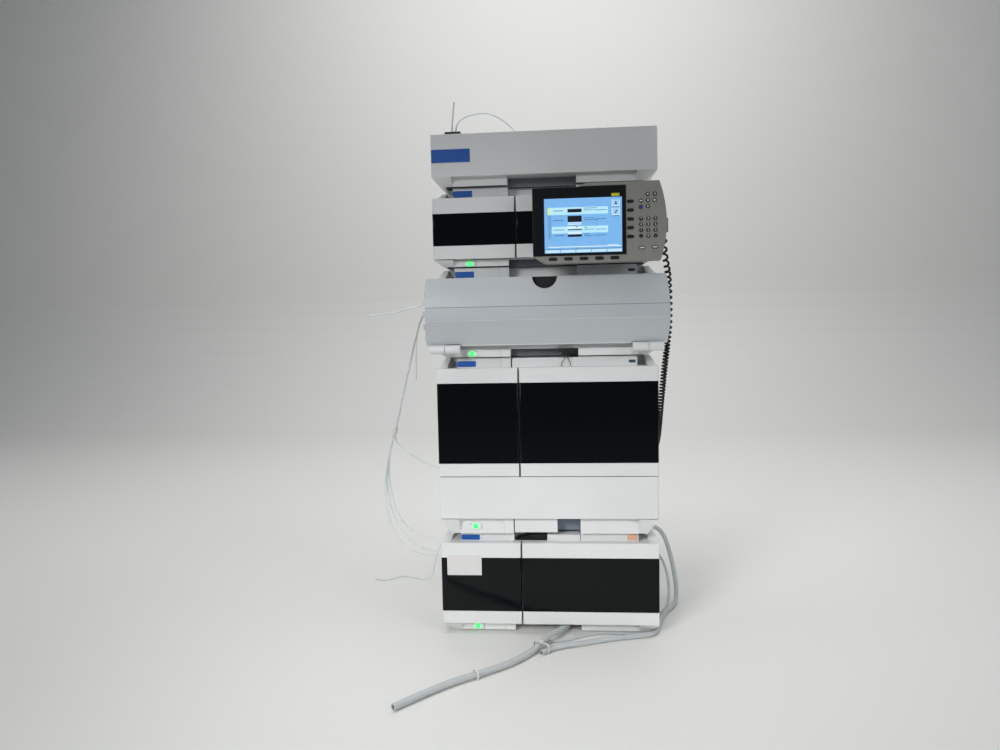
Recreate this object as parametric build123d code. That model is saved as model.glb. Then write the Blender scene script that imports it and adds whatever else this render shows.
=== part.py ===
from build123d import *
import os
from math import cos, pi, radians, sin, tan

# HPLC stack: pump, autosampler, column compartment, detector and solvent tray,
# with a handheld controller and its tubing. Millimetres, +Z up, fronts face -Y.
# Origin: on the surface it stands on, under the middle of its box without cords.

os.makedirs("parts", exist_ok=True)

# ---------------------------------------------------------------- driving sizes
MODULE_W = 396.0          # width of every housing
CORNER_DEPTH = 436.0      # depth of pump, detector and tray
COLUMN_DEPTH = 440.0      # depth of the column compartment
SAMPLER_DEPTH = 468.0     # depth of the autosampler
PUMP_H = 183.3
SAMPLER_H = 325.7
COLUMN_H = 163.0
DETECTOR_H = 142.5
TRAY_H = 90.9
PUMP_PLINTH = 20.2        # height of each strip under the doors
SAMPLER_PLINTH = 32.8
COLUMN_PLINTH = 16.7
DETECTOR_PLINTH = 14.9
TRAY_PLINTH = 17.1
PUMP_NECK = 12.6          # height of each name strip above the doors
SAMPLER_NECK = 17.8
COLUMN_NECK = 19.4
DETECTOR_NECK = 20.3
SAMPLER_PANEL_H = 78.3    # fixed panel below the autosampler's doors

DOOR_T = 16.0             # thickness of a flat door
DOOR_GAP = 1.5            # door back to housing front
DOOR_SEAM = 2.0           # gap between left and right door
LEFT_DOOR_W = 148.0
BAND_TOP = 27.0           # white band above each window
BAND_BOTTOM = 23.3        # white band below each window
PANE_T = 3.0
PANE_FIT = 0.3
STILE_W = 13.0            # door frame behind the pane, at each side
DOOR_FRONT_R = 2.5
DOOR_BACK_R = 6.0
PIVOT_IN = 8.0            # door axis, in from the outer edge and the front
PIN_D = 4.0
PIN_FIT = 0.06            # running fit of a pin, on the radius
PRESS_FIT = 0.02
EAR_H = 8.0
EAR_R = 5.0
EAR_ARM_W = 7.0
EAR_EDGE = 13.4           # ear to the door's top or bottom edge
EAR_PLAY = 0.5

UNDERCUT_W = 20.0         # slope under each housing, in X
UNDERCUT_D = 17.0         # and in Y
LIP_Y = 2.0               # lip of the lower housing behind the front plane
LIP_GAP = 1.5
SHOULDER_W = 8.0          # slope along the top sides, in X
NECK_D = 77.0             # depth of the name strip's shelf
CHEEK_W = 9.0             # side walls of that shelf
STRIP_HALF = 163.0        # half length of the strips
NAME_STRIP_Y = 21.0       # strips behind the front plane
FOOT_STRIP_Y = 14.0
MID_LEFT = -64.0          # recess between the left and right strip
MID_RIGHT = 58.0
MID_NAME_Y = 48.0
MID_FOOT_Y = 40.0
SHELF_DROP = 1.0
GROOVE_X = -82.0          # fine groove in the left strip
GROOVE_W = 0.8

SEAM_H = 1.6              # shadow gap under each foot strip
SEAM_D = 9.0
FUNNEL_SPLIT = -3.0       # end of the black funnel and start of the white block beside it

WALL = 10.0               # housing wall round a compartment
LEAK_TRAY = 12.0          # lower housing above the door's bottom edge
PUMP_BAY = 92.0
SAMPLER_BAY = 145.0
COLUMN_BAY = 110.0
DETECTOR_BAY = 92.0
DIVIDER_X = -49.0

COLUMN_DOOR_HALF = 216.0  # half width at its widest
COLUMN_DOOR_TOP_HALF = 210.5
COLUMN_DOOR_BOTTOM_HALF = 212.3
COLUMN_DOOR_BACK = 14.0
COLUMN_DOOR_WALL = 3.0
COLUMN_DOOR_BOW = 20.5    # how far its middle stands before the front plane
COLUMN_DOOR_EDGE = 4.0    # and its top and bottom edge
CREASE_LOW = 51.0         # the two creases above the module's door line
CREASE_HIGH = 74.8
COLUMN_DOOR_LIFT = 6.3    # bottom edge above the door line
NOTCH_R = 21.3
NOTCH_BACK = 9.0
VENT_W = 4.0
VENT_H = 11.0
VENT_PITCH = 21.2
VENTS = 4
BARREL_R = 8.0
BARREL_IN = 152.0
BARREL_MID = 180.0
BARREL_OUT = 206.0
BARREL_GAP = 0.6
COLUMN_PIN_D = 6.0
HEATER_T = 24.0           # heating blocks behind the columns
HEATER_H = 80.0
HEATER_IN = 30.0
HEATER_OUT = 118.0
COLUMN_R = 4.9
COLUMN_L = 250.0
COLUMN_PITCH = 38.0
COLUMN_PLAY = 0.3
NUT_R = 8.2
NUT_L = 22.0

TRAY_WALL = 4.0
TRAY_FLOOR = 5.0

CTRL_FRONT = 50.0         # controller's face before the front plane
CTRL_T = 28.0
BEZEL_PROUD = 1.0
BEZEL_T = 4.0
SCREEN_SINK = 0.8
SCREEN_T = 2.0
KEY_PROUD = 1.5
PANEL_T = 1.5             # rear sheet-metal panels
SOCKET_T = 6.0
FOOT_T = 5.0
FOOT_PROUD = 1.5         # rubber pads below the lowest housing
FOOT_R = 11.0
FOOT_X = 140.0
FOOT_IN = 65.0           # pads in from the front and the back
BUTTON_W = 22.0
BUTTON_H = 8.0
BUTTON_T = 6.0
BUTTON_PROUD = 2.4
BUTTON_X = -134.0
BUTTON_FIT = 0.35

# ---------------------------------------------------------------- worked-out places
HALF = MODULE_W / 2
Y0 = -(SAMPLER_DEPTH + SOCKET_T - CTRL_FRONT - KEY_PROUD) / 2     # the doors' front plane
SAMPLER_Z = PUMP_H
COLUMN_Z = SAMPLER_Z + SAMPLER_H
DETECTOR_Z = COLUMN_Z + COLUMN_H
TRAY_Z = DETECTOR_Z + DETECTOR_H
FRONT = Y0 + DOOR_T + DOOR_GAP                                    # the housings' front face
SEAM_X = -HALF + LEFT_DOOR_W


class Module:
    """One housing: its heights and its back plane."""

    def __init__(self, z0, height, plinth, neck, depth, bay):
        self.z0 = z0
        self.z1 = z0 + height
        self.low = z0 + plinth
        self.high = z0 + height - neck
        self.back = Y0 + depth - PANEL_T
        self.bay = FRONT + bay
        self.split = self.low + LEAK_TRAY


PUMP = Module(FOOT_PROUD, PUMP_H - FOOT_PROUD, PUMP_PLINTH - FOOT_PROUD, PUMP_NECK, CORNER_DEPTH, PUMP_BAY)
SAMPLER = Module(SAMPLER_Z, SAMPLER_H, SAMPLER_PLINTH, SAMPLER_NECK, SAMPLER_DEPTH, SAMPLER_BAY)
COLUMN = Module(COLUMN_Z, COLUMN_H, COLUMN_PLINTH, COLUMN_NECK, COLUMN_DEPTH, COLUMN_BAY)
DETECTOR = Module(DETECTOR_Z, DETECTOR_H, DETECTOR_PLINTH, DETECTOR_NECK, CORNER_DEPTH, DETECTOR_BAY)
TRAY = Module(TRAY_Z, TRAY_H, TRAY_PLINTH, 0.0, CORNER_DEPTH, 0.0)
SAMPLER_DOOR_LOW = SAMPLER.low + SAMPLER_PANEL_H
HINGE_Z = COLUMN.low + 0.3
HINGE_Y = Y0 - BARREL_R


# ---------------------------------------------------------------- helpers
def block(x0, x1, y0, y1, z0, z1):
    """Box between two corners."""
    return Pos((x0 + x1) / 2, (y0 + y1) / 2, (z0 + z1) / 2) * Box(x1 - x0, y1 - y0, z1 - z0)


def prism_x(points, x0, x1):
    """Prism along X on (y, z) points."""
    face = make_face(Polyline(*[(x0, y, z) for y, z in points], close=True))
    return extrude(face, amount=x1 - x0, dir=(1, 0, 0))


def prism_y(points, y0, y1):
    """Prism along Y on (x, z) points."""
    face = make_face(Polyline(*[(x, y0, z) for x, z in points], close=True))
    return extrude(face, amount=y1 - y0, dir=(0, 1, 0))


def rod(start, axis, length, radius):
    """Cylinder from a point along an axis."""
    plane = Plane(origin=start, z_dir=axis)
    return extrude(plane * Circle(radius), amount=length)


def group(solids):
    """Separate solids kept in one node."""
    return Compound(children=[piece for item in solids for piece in item.solids()])


def save(name, shape):
    export_step(shape, f"parts/{name}.step")


# ---------------------------------------------------------------- housings
def housing(m):
    """Outer form of one housing, sloped below its door line and above it."""
    side = prism_x(
        [(m.back, m.z0), (Y0 + UNDERCUT_D, m.z0), (Y0 + LIP_Y, m.low - LIP_GAP), (FRONT, m.low - LIP_GAP),
         (FRONT, m.high), (Y0 + NECK_D, m.z1), (m.back, m.z1)], -HALF, HALF)
    end = prism_y(
        [(-HALF + UNDERCUT_W, m.z0), (HALF - UNDERCUT_W, m.z0), (HALF, m.low - LIP_GAP), (HALF, m.high),
         (HALF - SHOULDER_W, m.z1), (SHOULDER_W - HALF, m.z1), (-HALF, m.high), (-HALF, m.low - LIP_GAP)],
        Y0, m.back)
    body = side & end
    shelf_half = HALF - SHOULDER_W - CHEEK_W
    shelf_z = m.high - SHELF_DROP
    body -= block(-shelf_half, shelf_half, FRONT - 1, Y0 + NECK_D, shelf_z, m.z1 + 1)
    for x0, x1, y in ((-STRIP_HALF, MID_LEFT, NAME_STRIP_Y), (MID_RIGHT, STRIP_HALF, NAME_STRIP_Y),
                      (MID_LEFT, MID_RIGHT, MID_NAME_Y)):
        body += block(x0, x1, Y0 + y, Y0 + NECK_D, shelf_z, m.z1)
    body -= block(-STRIP_HALF, STRIP_HALF, Y0 - 1, Y0 + FOOT_STRIP_Y, m.z0 - 1, m.low)
    body += block(-STRIP_HALF, STRIP_HALF, Y0 + FOOT_STRIP_Y, Y0 + MID_NAME_Y, m.z0, m.low - LIP_GAP)
    body -= block(MID_LEFT, MID_RIGHT, Y0 - 1, Y0 + MID_FOOT_Y, m.z0 - 1, m.low - LIP_GAP)
    body -= block(-STRIP_HALF, STRIP_HALF, Y0, Y0 + FOOT_STRIP_Y + SEAM_D, m.z0 - 1, m.z0 + SEAM_H)
    for y in (NAME_STRIP_Y, FOOT_STRIP_Y):
        z0, z1 = (m.high, m.z1 + 1) if y == NAME_STRIP_Y else (m.z0 - 1, m.low)
        body -= block(GROOVE_X, GROOVE_X + GROOVE_W, Y0, Y0 + y + GROOVE_W, z0, z1)
    return body


def bays(m, z0, z1, divided):
    """Compartments behind the doors."""
    inner = HALF - WALL
    if not divided:
        return block(-inner, inner, FRONT - 1, m.bay, z0, z1)
    left = block(-inner, DIVIDER_X - WALL / 2, FRONT - 1, m.bay, z0, z1)
    right = block(DIVIDER_X + WALL / 2, inner, FRONT - 1, m.bay, z0, z1)
    return left + right


def ear_heights(low, high):
    """Bottom of the lower and of the upper hinge ear."""
    return (low + EAR_EDGE, high - EAR_EDGE - EAR_H)


def hinge_ears(low, high):
    """Ears that carry the doors' pins, standing forward from the housing."""
    ears = []
    for side in (-1, 1):
        x = side * (HALF - PIVOT_IN)
        y = Y0 + PIVOT_IN
        for z in ear_heights(low, high):
            ear = rod((x, y, z), (0, 0, 1), EAR_H, EAR_R)
            ear += block(x - EAR_ARM_W / 2, x + EAR_ARM_W / 2, y, FRONT, z, z + EAR_H)
            ears.append(ear - rod((x, y, z - 1), (0, 0, 1), EAR_H + 2, PIN_D / 2 + PRESS_FIT))
    return ears


def button_hole(m):
    """Well of the power button in the lower housing's strip."""
    z = m.z0 + (m.low - LIP_GAP - m.z0) / 2
    w = BUTTON_W / 2 + BUTTON_FIT
    h = BUTTON_H / 2 + BUTTON_FIT
    y = Y0 + FOOT_STRIP_Y
    return block(BUTTON_X - w, BUTTON_X + w, y - 1, y + BUTTON_T, z - h, z + h)


def power_button(m):
    """Light pipe that is also the power switch, in its well."""
    z = m.z0 + (m.low - LIP_GAP - m.z0) / 2
    y = Y0 + FOOT_STRIP_Y - BUTTON_PROUD
    piece = block(BUTTON_X - BUTTON_W / 2, BUTTON_X + BUTTON_W / 2, y, y + BUTTON_T, z - BUTTON_H / 2,
                  z + BUTTON_H / 2)
    return fillet(piece.edges().filter_by(Axis.Y), 1.8)


def halves(m, low, high, bay_low, divided, eared):
    """Lower and upper housing, split at the leak tray."""
    body = housing(m)
    below = block(-HALF - 1, HALF + 1, Y0 - 1, m.back + 1, m.z0 - 1, m.split)
    base = (body & below) - button_hole(m)
    cover = body - below - bays(m, bay_low, high - WALL, divided)
    if eared:
        for ear in hinge_ears(low, high):
            cover += ear
    return base, cover


# ---------------------------------------------------------------- smoked doors
def flat_door(side, inner_x, low, high):
    """Door frame hinged at its outer edge; side is -1 for left, 1 for right."""
    outer_x = side * HALF
    x0, x1 = sorted((inner_x, outer_x))
    frame = block(x0, x1, Y0, Y0 + DOOR_T, low, high)
    upright = frame.edges().filter_by(Axis.Z)
    back_outer = upright.filter_by(lambda e: abs(e.center().X - outer_x) < 1 and e.center().Y > Y0 + 1)
    frame = fillet(back_outer, DOOR_BACK_R)
    front_upright = frame.edges().filter_by(Axis.Z).filter_by(lambda e: e.center().Y < Y0 + 0.1)
    frame = fillet(front_upright, DOOR_FRONT_R)
    pane_low = low + BAND_BOTTOM
    pane_high = high - BAND_TOP
    frame -= block(x0 - 1, x1 + 1, Y0 - 1, Y0 + PANE_T, pane_low, pane_high)
    frame -= block(x0 + STILE_W, x1 - STILE_W, Y0, Y0 + DOOR_T + 1, pane_low + 2, pane_high - 2)
    rib = 4.0
    count = 3 if x1 - x0 < 200 else 5
    step = (x1 - x0 - 2 * STILE_W + rib) / count
    for z0, z1 in ((low + 3, pane_low - 1), (pane_high + 1, high - 3)):
        for i in range(count):
            left = x0 + STILE_W + i * step
            frame -= block(left, left + step - rib, Y0 + 4, Y0 + DOOR_T + 1, z0, z1)
    x = side * (HALF - PIVOT_IN)
    y = Y0 + PIVOT_IN
    reach = EAR_R + EAR_PLAY
    for z in ear_heights(low, high):
        z0, z1 = z - EAR_PLAY, z + EAR_H + EAR_PLAY
        notch = rod((x, y, z0), (0, 0, 1), z1 - z0, reach)
        a, b = sorted((x - side * reach, outer_x + side))
        notch += block(a, b, y - reach, Y0 + DOOR_T + 1, z0, z1)
        frame -= notch
        frame -= rod((x, y, z0 - 7), (0, 0, 1), z1 - z0 + 14, PIN_D / 2 + PIN_FIT)
    return frame


def pane(side, inner_x, low, high):
    """Smoked pane let into the front of a door, across its whole width."""
    x0, x1 = sorted((inner_x, side * HALF))
    plate = block(x0, x1, Y0, Y0 + PANE_T - 0.02, low + BAND_BOTTOM + PANE_FIT, high - BAND_TOP - PANE_FIT)
    front = plate.edges().filter_by(Axis.Z).filter_by(lambda e: e.center().Y < Y0 + 0.1)
    return fillet(front, DOOR_FRONT_R)


def door_pins(low, high):
    """Pins of one pair of doors."""
    pins = []
    for side in (-1, 1):
        for z in ear_heights(low, high):
            pins.append(rod((side * (HALF - PIVOT_IN), Y0 + PIVOT_IN, z - 6), (0, 0, 1), EAR_H + 12, PIN_D / 2))
    return pins


# ---------------------------------------------------------------- column compartment
def bow_profile(inset):
    """Side outline of the bowed door, as a face in the YZ plane, drawn in by a wall."""
    low = COLUMN.low + COLUMN_DOOR_LIFT + inset
    high = COLUMN.high - inset
    back = Y0 + COLUMN_DOOR_BACK + (1 if inset else 0)
    edge = Y0 - COLUMN_DOOR_EDGE + inset
    bow = Y0 - COLUMN_DOOR_BOW + inset
    crease_a = COLUMN.low + CREASE_LOW
    crease_b = COLUMN.low + CREASE_HIGH
    curve = [
        Line((0, back, low), (0, edge, low)),
        ThreePointArc((0, edge, low), (0, (edge + bow) / 2 - 1.8, (low + crease_a) / 2), (0, bow, crease_a)),
        Line((0, bow, crease_a), (0, bow + 1.0, crease_b)),
        ThreePointArc((0, bow + 1.0, crease_b), (0, (edge + bow) / 2 - 1.6, (high + crease_b) / 2), (0, edge, high)),
        Line((0, edge, high), (0, back, high)),
        Line((0, back, high), (0, back, low)),
    ]
    return make_face(Wire(curve))


def bow_outline(inset):
    """Front outline of the bowed door, its sides swelling at mid height."""
    low = COLUMN.low + COLUMN_DOOR_LIFT - 1
    high = COLUMN.high + 1
    mid = (low + high) / 2
    y = Y0 - 60
    bottom, middle, top = (half - inset for half in
                           (COLUMN_DOOR_BOTTOM_HALF, COLUMN_DOOR_HALF, COLUMN_DOOR_TOP_HALF))
    curve = [
        Line((-bottom, y, low), (bottom, y, low)),
        ThreePointArc((bottom, y, low), (middle, y, mid), (top, y, high)),
        Line((top, y, high), (-top, y, high)),
        ThreePointArc((-top, y, high), (-middle, y, mid), (-bottom, y, low)),
    ]
    return make_face(Wire(curve))


def bowed_block(inset):
    """Solid between the side and the front outline."""
    reach = COLUMN_DOOR_HALF + 10
    side = extrude(Pos(-reach, 0, 0) * bow_profile(inset), amount=2 * reach, dir=(1, 0, 0))
    front = extrude(bow_outline(inset), amount=120, dir=(0, 1, 0))
    return side & front


def column_door():
    """Bowed drop-down door: shell, finger cup, vents and its outer hinge knuckles."""
    shell = bowed_block(0) - bowed_block(COLUMN_DOOR_WALL)
    cup_back = Y0 + NOTCH_BACK
    top = COLUMN.high
    cup = rod((0, Y0 - COLUMN_DOOR_BOW, top), (0, 1, 0), COLUMN_DOOR_BOW + NOTCH_BACK, NOTCH_R + 2.4)
    cup &= block(-60, 60, Y0 - 60, Y0 + 60, top - 60, top)
    shell += cup & bowed_block(1)
    shell -= rod((0, Y0 - 60, top), (0, 1, 0), cup_back - 2.4 - Y0 + 60, NOTCH_R)
    vent_z = (COLUMN.low + COLUMN_DOOR_LIFT + COLUMN.high) / 2 - VENT_PITCH * (VENTS - 1) / 2 - 4
    for i in range(VENTS):
        z = vent_z + i * VENT_PITCH
        shell -= block(-COLUMN_DOOR_HALF - 5, VENT_W - COLUMN_DOOR_HALF, Y0 - 40, Y0 + 2, z - VENT_H / 2,
                       z + VENT_H / 2)
    for side in (-1, 1):
        x0, x1 = sorted((side * (BARREL_IN - 2), side * BARREL_MID))
        shell -= rod((x0, HINGE_Y, HINGE_Z), (1, 0, 0), x1 - x0, BARREL_R + 1.6)
        x0, x1 = sorted((side * BARREL_MID, side * BARREL_OUT))
        knuckle = rod((x0, HINGE_Y, HINGE_Z), (1, 0, 0), x1 - x0, BARREL_R)
        web = block(x0, x1, HINGE_Y, Y0 + 3, HINGE_Z + 2, COLUMN.low + COLUMN_DOOR_LIFT + 2)
        shell += knuckle + web
        a, b = sorted((side * (BARREL_MID - 1), side * (BARREL_OUT - 3)))
        shell -= rod((a, HINGE_Y, HINGE_Z), (1, 0, 0), b - a, COLUMN_PIN_D / 2 + PIN_FIT)
    return shell


def column_hinges():
    """Fixed knuckles with the brackets that reach back to the lower housing's strip."""
    parts = []
    for side in (-1, 1):
        x0, x1 = sorted((side * BARREL_IN, side * (BARREL_MID - BARREL_GAP)))
        knuckle = rod((x0, HINGE_Y, HINGE_Z), (1, 0, 0), x1 - x0, BARREL_R)
        bx0, bx1 = sorted((side * BARREL_IN, side * (STRIP_HALF - 1)))
        bracket = prism_x([(HINGE_Y, HINGE_Z), (HINGE_Y, HINGE_Z - BARREL_R), (Y0 + 2, COLUMN_Z + 3),
                           (Y0 + FOOT_STRIP_Y, COLUMN_Z + 3), (Y0 + FOOT_STRIP_Y, COLUMN.low - LIP_GAP - 1),
                           (HINGE_Y + BARREL_R - 0.5, HINGE_Z - 2)], bx0, bx1)
        hole = rod((x0 - 1, HINGE_Y, HINGE_Z), (1, 0, 0), x1 - x0 + 2, COLUMN_PIN_D / 2 + PRESS_FIT)
        parts.append(knuckle + bracket - hole)
    return parts


def column_pins():
    """Steel pins of the drop-down door."""
    pins = []
    for side in (-1, 1):
        x0, x1 = sorted((side * (BARREL_IN + 1), side * (BARREL_OUT - 3.4)))
        pins.append(rod((x0, HINGE_Y, HINGE_Z), (1, 0, 0), x1 - x0, COLUMN_PIN_D / 2))
    return pins


def columns():
    """Two separation columns clipped to the heating blocks."""
    solids = []
    face = COLUMN.bay - HEATER_T
    z_mid = (COLUMN.split + COLUMN.high - WALL) / 2
    heights = (z_mid - COLUMN_PITCH / 2, z_mid + COLUMN_PITCH / 2)
    for side in (-1, 1):
        x0, x1 = sorted((side * HEATER_IN, side * HEATER_OUT))
        slab = block(x0, x1, face, COLUMN.bay, z_mid - HEATER_H / 2, z_mid + HEATER_H / 2)
        for z in heights:
            slab -= rod((x0 - 1, face, z), (1, 0, 0), x1 - x0 + 2, COLUMN_R + COLUMN_PLAY)
        solids.append(slab)
    for z in heights:
        tube = rod((-COLUMN_L / 2, face, z), (1, 0, 0), COLUMN_L, COLUMN_R)
        for x in (-COLUMN_L / 2 - NUT_L, COLUMN_L / 2):
            tube += extrude(Plane(origin=(x, face, z), z_dir=(1, 0, 0)) * RegularPolygon(NUT_R, 6), amount=NUT_L)
        solids.append(tube)
    return solids


# ---------------------------------------------------------------- inside the pump
def pump_heads():
    """Two steel pump heads with their inlet and outlet valves."""
    solids = []
    z = (PUMP.split + PUMP.high - WALL) / 2
    for x in (8.0, 88.0):
        back = PUMP.bay
        head = rod((x, back, z), (0, -1, 0), 24, 27) + rod((x, back - 24, z), (0, -1, 0), 22, 20)
        head += rod((x, back - 35, z - 48), (0, 0, 1), 96, 7.5)
        head += rod((x, back - 35, z + 30), (0, 0, 1), 12, 10) + rod((x, back - 35, z - 42), (0, 0, 1), 12, 10)
        for i in range(4):
            a = radians(45 + 90 * i)
            head -= rod((x + 13.5 * cos(a), back - 50, z + 13.5 * sin(a)), (0, 1, 0), 9, 2.6)
        solids.append(head)
    return solids


PURGE_X = 155.0
PURGE_Z = (PUMP.split + PUMP.high - WALL) / 2
PURGE_BLOCK_T = 30.0
PURGE_STEM_R = 4.0


def purge_block():
    """Manifold that carries the purge valve's stem."""
    body = block(PURGE_X - 17, PURGE_X + 17, PUMP.bay - PURGE_BLOCK_T, PUMP.bay, PURGE_Z - 26, PURGE_Z + 26)
    hole = rod((PURGE_X, PUMP.bay - PURGE_BLOCK_T - 1, PURGE_Z), (0, 1, 0), 15.3, PURGE_STEM_R + PIN_FIT)
    return body - hole


def purge_valve():
    """Fluted knob on its stem, turned by hand."""
    face = PUMP.bay - PURGE_BLOCK_T - 0.4
    knob = rod((PURGE_X, face, PURGE_Z), (0, -1, 0), 16, 12)
    for i in range(8):
        a = 2 * pi * i / 8
        knob -= rod((PURGE_X + 13 * cos(a), face + 1, PURGE_Z + 13 * sin(a)), (0, -1, 0), 18, 2.4)
    return knob + rod((PURGE_X, face, PURGE_Z), (0, 1, 0), 14, PURGE_STEM_R)


def solvent_valve():
    """Four-channel proportioning valve in the left compartment."""
    x, z, back = -124.0, PURGE_Z, PUMP.bay
    body = block(x - 34, x + 34, back - 38, back, z - 34, z + 34)
    for dx in (-18, 18):
        for dz in (-18, 18):
            body += rod((x + dx, back - 38, z + dz), (0, -1, 0), 12, 6)
    return body + rod((x, back - 38, z), (0, -1, 0), 16, 5)


# ---------------------------------------------------------------- inside the autosampler
SAMPLER_BAY_LOW = SAMPLER_DOOR_LOW + WALL
VIAL_R = 5.8
VIAL_PITCH = 19.0


def injection_valve():
    """Rotary valve with six ports, and the metering head above it."""
    x, back = -124.0, SAMPLER.bay
    z = SAMPLER_BAY_LOW + 62
    valve = rod((x, back, z), (0, -1, 0), 46, 27) + rod((x, back - 46, z), (0, -1, 0), 10, 19)
    for i in range(6):
        a = 2 * pi * i / 6
        valve += rod((x + 12 * cos(a), back - 56, z + 12 * sin(a)), (0, -1, 0), 12, 3.4)
    head = block(x - 26, x + 26, back - 60, back, z + 36, z + 84)
    head += rod((x, back - 60, z + 60), (0, -1, 0), 14, 13)
    return [valve, head]


def sample_drawer():
    """Drawer that holds the vials, on the floor of the right compartment."""
    x0, x1 = DIVIDER_X + WALL / 2 + 12, HALF - WALL - 12
    y0, y1 = FRONT + 8, SAMPLER.bay - 6
    z = SAMPLER_BAY_LOW
    tray = block(x0, x1, y0, y1, z, z + 26) - block(x0 + 3, x1 - 3, y0 + 6, y1 - 3, z + 20, z + 27)
    tray += block((x0 + x1) / 2 - 30, (x0 + x1) / 2 + 30, y0 - 5, y0, z + 6, z + 18)
    solids = []
    for i in range(6):
        for j in range(3):
            x = (x0 + x1) / 2 + (i - 2.5) * VIAL_PITCH * 1.6
            y = (y0 + y1) / 2 + (j - 1) * VIAL_PITCH * 1.7
            tray -= rod((x, y, z + 6), (0, 0, 1), 20, VIAL_R + 0.3)
            vial = rod((x, y, z + 6), (0, 0, 1), 34, VIAL_R)
            solids.append(vial)
    return [tray] + solids


def flow_cell():
    """Flow cell with two finger-tight fittings, behind the detector's left door."""
    x, back = -124.0, DETECTOR.bay
    z = (DETECTOR.split + DETECTOR.high - WALL) / 2
    body = block(x - 38, x + 38, back - 30, back, z - 24, z + 24)
    body += rod((x, back - 30, z), (0, -1, 0), 14, 15)
    for dx in (-26, 26):
        body += rod((x + dx, back - 30, z), (0, -1, 0), 18, 6)
    return body


# ---------------------------------------------------------------- solvent tray
def solvent_tray():
    """Open moulded tray with a tall front and sloped underside."""
    m = TRAY
    side = prism_x([(m.back, m.z0), (Y0 + UNDERCUT_D, m.z0), (Y0, m.low), (Y0, m.z1), (m.back, m.z1)],
                   -HALF, HALF)
    end = prism_y([(-HALF + UNDERCUT_W, m.z0), (HALF - UNDERCUT_W, m.z0), (HALF, m.low), (HALF, m.z1),
                   (-HALF, m.z1), (-HALF, m.low)], Y0, m.back)
    body = side & end
    body -= block(-STRIP_HALF, STRIP_HALF, Y0 - 1, Y0 + FOOT_STRIP_Y, m.z0 - 1, m.low)
    body += block(-STRIP_HALF, STRIP_HALF, Y0 + FOOT_STRIP_Y, Y0 + MID_NAME_Y, m.z0, m.low)
    body -= block(MID_LEFT, MID_RIGHT, Y0 - 1, Y0 + MID_FOOT_Y, m.z0 - 1, m.low)
    body -= block(-HALF + TRAY_WALL, HALF - TRAY_WALL, Y0 + TRAY_WALL, m.back - TRAY_WALL,
                  m.low + TRAY_FLOOR, m.z1 + 1)
    outer = body.edges().filter_by(Axis.Z).filter_by(
        lambda e: abs(abs(e.center().X) - HALF) < 0.1 and e.length > 40)
    return fillet(outer, 3.0)


def tubing_clip():
    """Black clip pushed over the tray's front wall, holding the tubing loop."""
    x0, x1, z = -172.0, -144.0, TRAY.z1
    y0 = Y0 + TRAY_WALL
    clip = block(x0, x1, y0 + 0.1, y0 + 16, z - 22, z + 4)
    clip -= block(x0 + 5, x1 - 5, y0 + 4, y0 + 17, z - 23, z + 5)
    return clip + block(x0, x1, Y0 + 0.6, y0 + 0.1, z + 0.05, z + 4)


# ---------------------------------------------------------------- rear side
def rear_panels():
    """Sheet-metal rear panels with a fan opening each."""
    plates = []
    for m in (PUMP, SAMPLER, COLUMN, DETECTOR):
        z0, z1 = m.z0 + 22, m.z1 - 14
        plate = block(-HALF + 14, HALF - 14, m.back, m.back + PANEL_T, z0, z1)
        radius = min(38.0, (z1 - z0) / 2 - 8)
        z = (z0 + z1) / 2
        for k in range(5):
            h = -radius + (k + 0.5) * radius * 2 / 5
            half = (radius ** 2 - h ** 2) ** 0.5
            plate -= block(-110 - half, -110 + half, m.back - 1, m.back + 2, z + h - 3.2, z + h + 3.2)
        plates.append(plate)
    return plates


def rear_sockets():
    """Mains inlet and data sockets on each rear panel."""
    solids = []
    for m in (PUMP, SAMPLER, COLUMN, DETECTOR):
        y = m.back + PANEL_T
        z = m.z0 + 22 + 24
        inlet = block(120, 168, y, y + SOCKET_T, z - 15, z + 15) - block(125, 163, y + 1.5, y + 9, z - 10, z + 10)
        solids.append(inlet)
        for i in range(4):
            x = 20.0 + 22 * i
            port = block(x - 8, x + 8, y, y + SOCKET_T - 2, z - 7, z + 7)
            solids.append(port - block(x - 6, x + 6, y + 1.2, y + 9, z - 5, z + 5))
    return solids


# ---------------------------------------------------------------- gaps between the modules
def leak_funnels():
    """White blocks and black tubing guides in the strips' middle recesses."""
    solids = []
    shelf = PUMP.high - SHELF_DROP
    solids.append(block(FUNNEL_SPLIT, MID_RIGHT - 1, Y0 + 20, Y0 + MID_NAME_Y, shelf, PUMP_H - 2))
    left = MID_LEFT + 1
    right = FUNNEL_SPLIT - 0.5
    y = Y0 + 24
    arc = ThreePointArc((left, y, shelf), ((left + right) / 2, y, shelf + 9.5), (right, y, shelf + 11))
    outline = Wire([arc, Line((right, y, shelf + 11), (right, y, shelf)), Line((right, y, shelf), (left, y, shelf))])
    funnel = extrude(make_face(outline), amount=Y0 + MID_NAME_Y - y, dir=(0, 1, 0))
    solids.append(funnel)
    foot = SAMPLER.low - LIP_GAP
    solids.append(block(MID_LEFT + 2, 16, Y0 + 11, Y0 + MID_FOOT_Y, SAMPLER_Z + 5, foot - 0.1))
    solids.append(block(-62, MID_RIGHT - 0.1, Y0 + 23, Y0 + MID_NAME_Y, SAMPLER.high - SHELF_DROP, COLUMN_Z - 1.5))
    foot = COLUMN.low - LIP_GAP
    nozzle = block(22, 50, Y0 + 11, Y0 + MID_FOOT_Y, foot - 7, foot - 0.1)
    solids.append(nozzle + rod((36, Y0 + 19, foot - 13.5), (0, 0, 1), 8, 8))
    return solids


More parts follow.
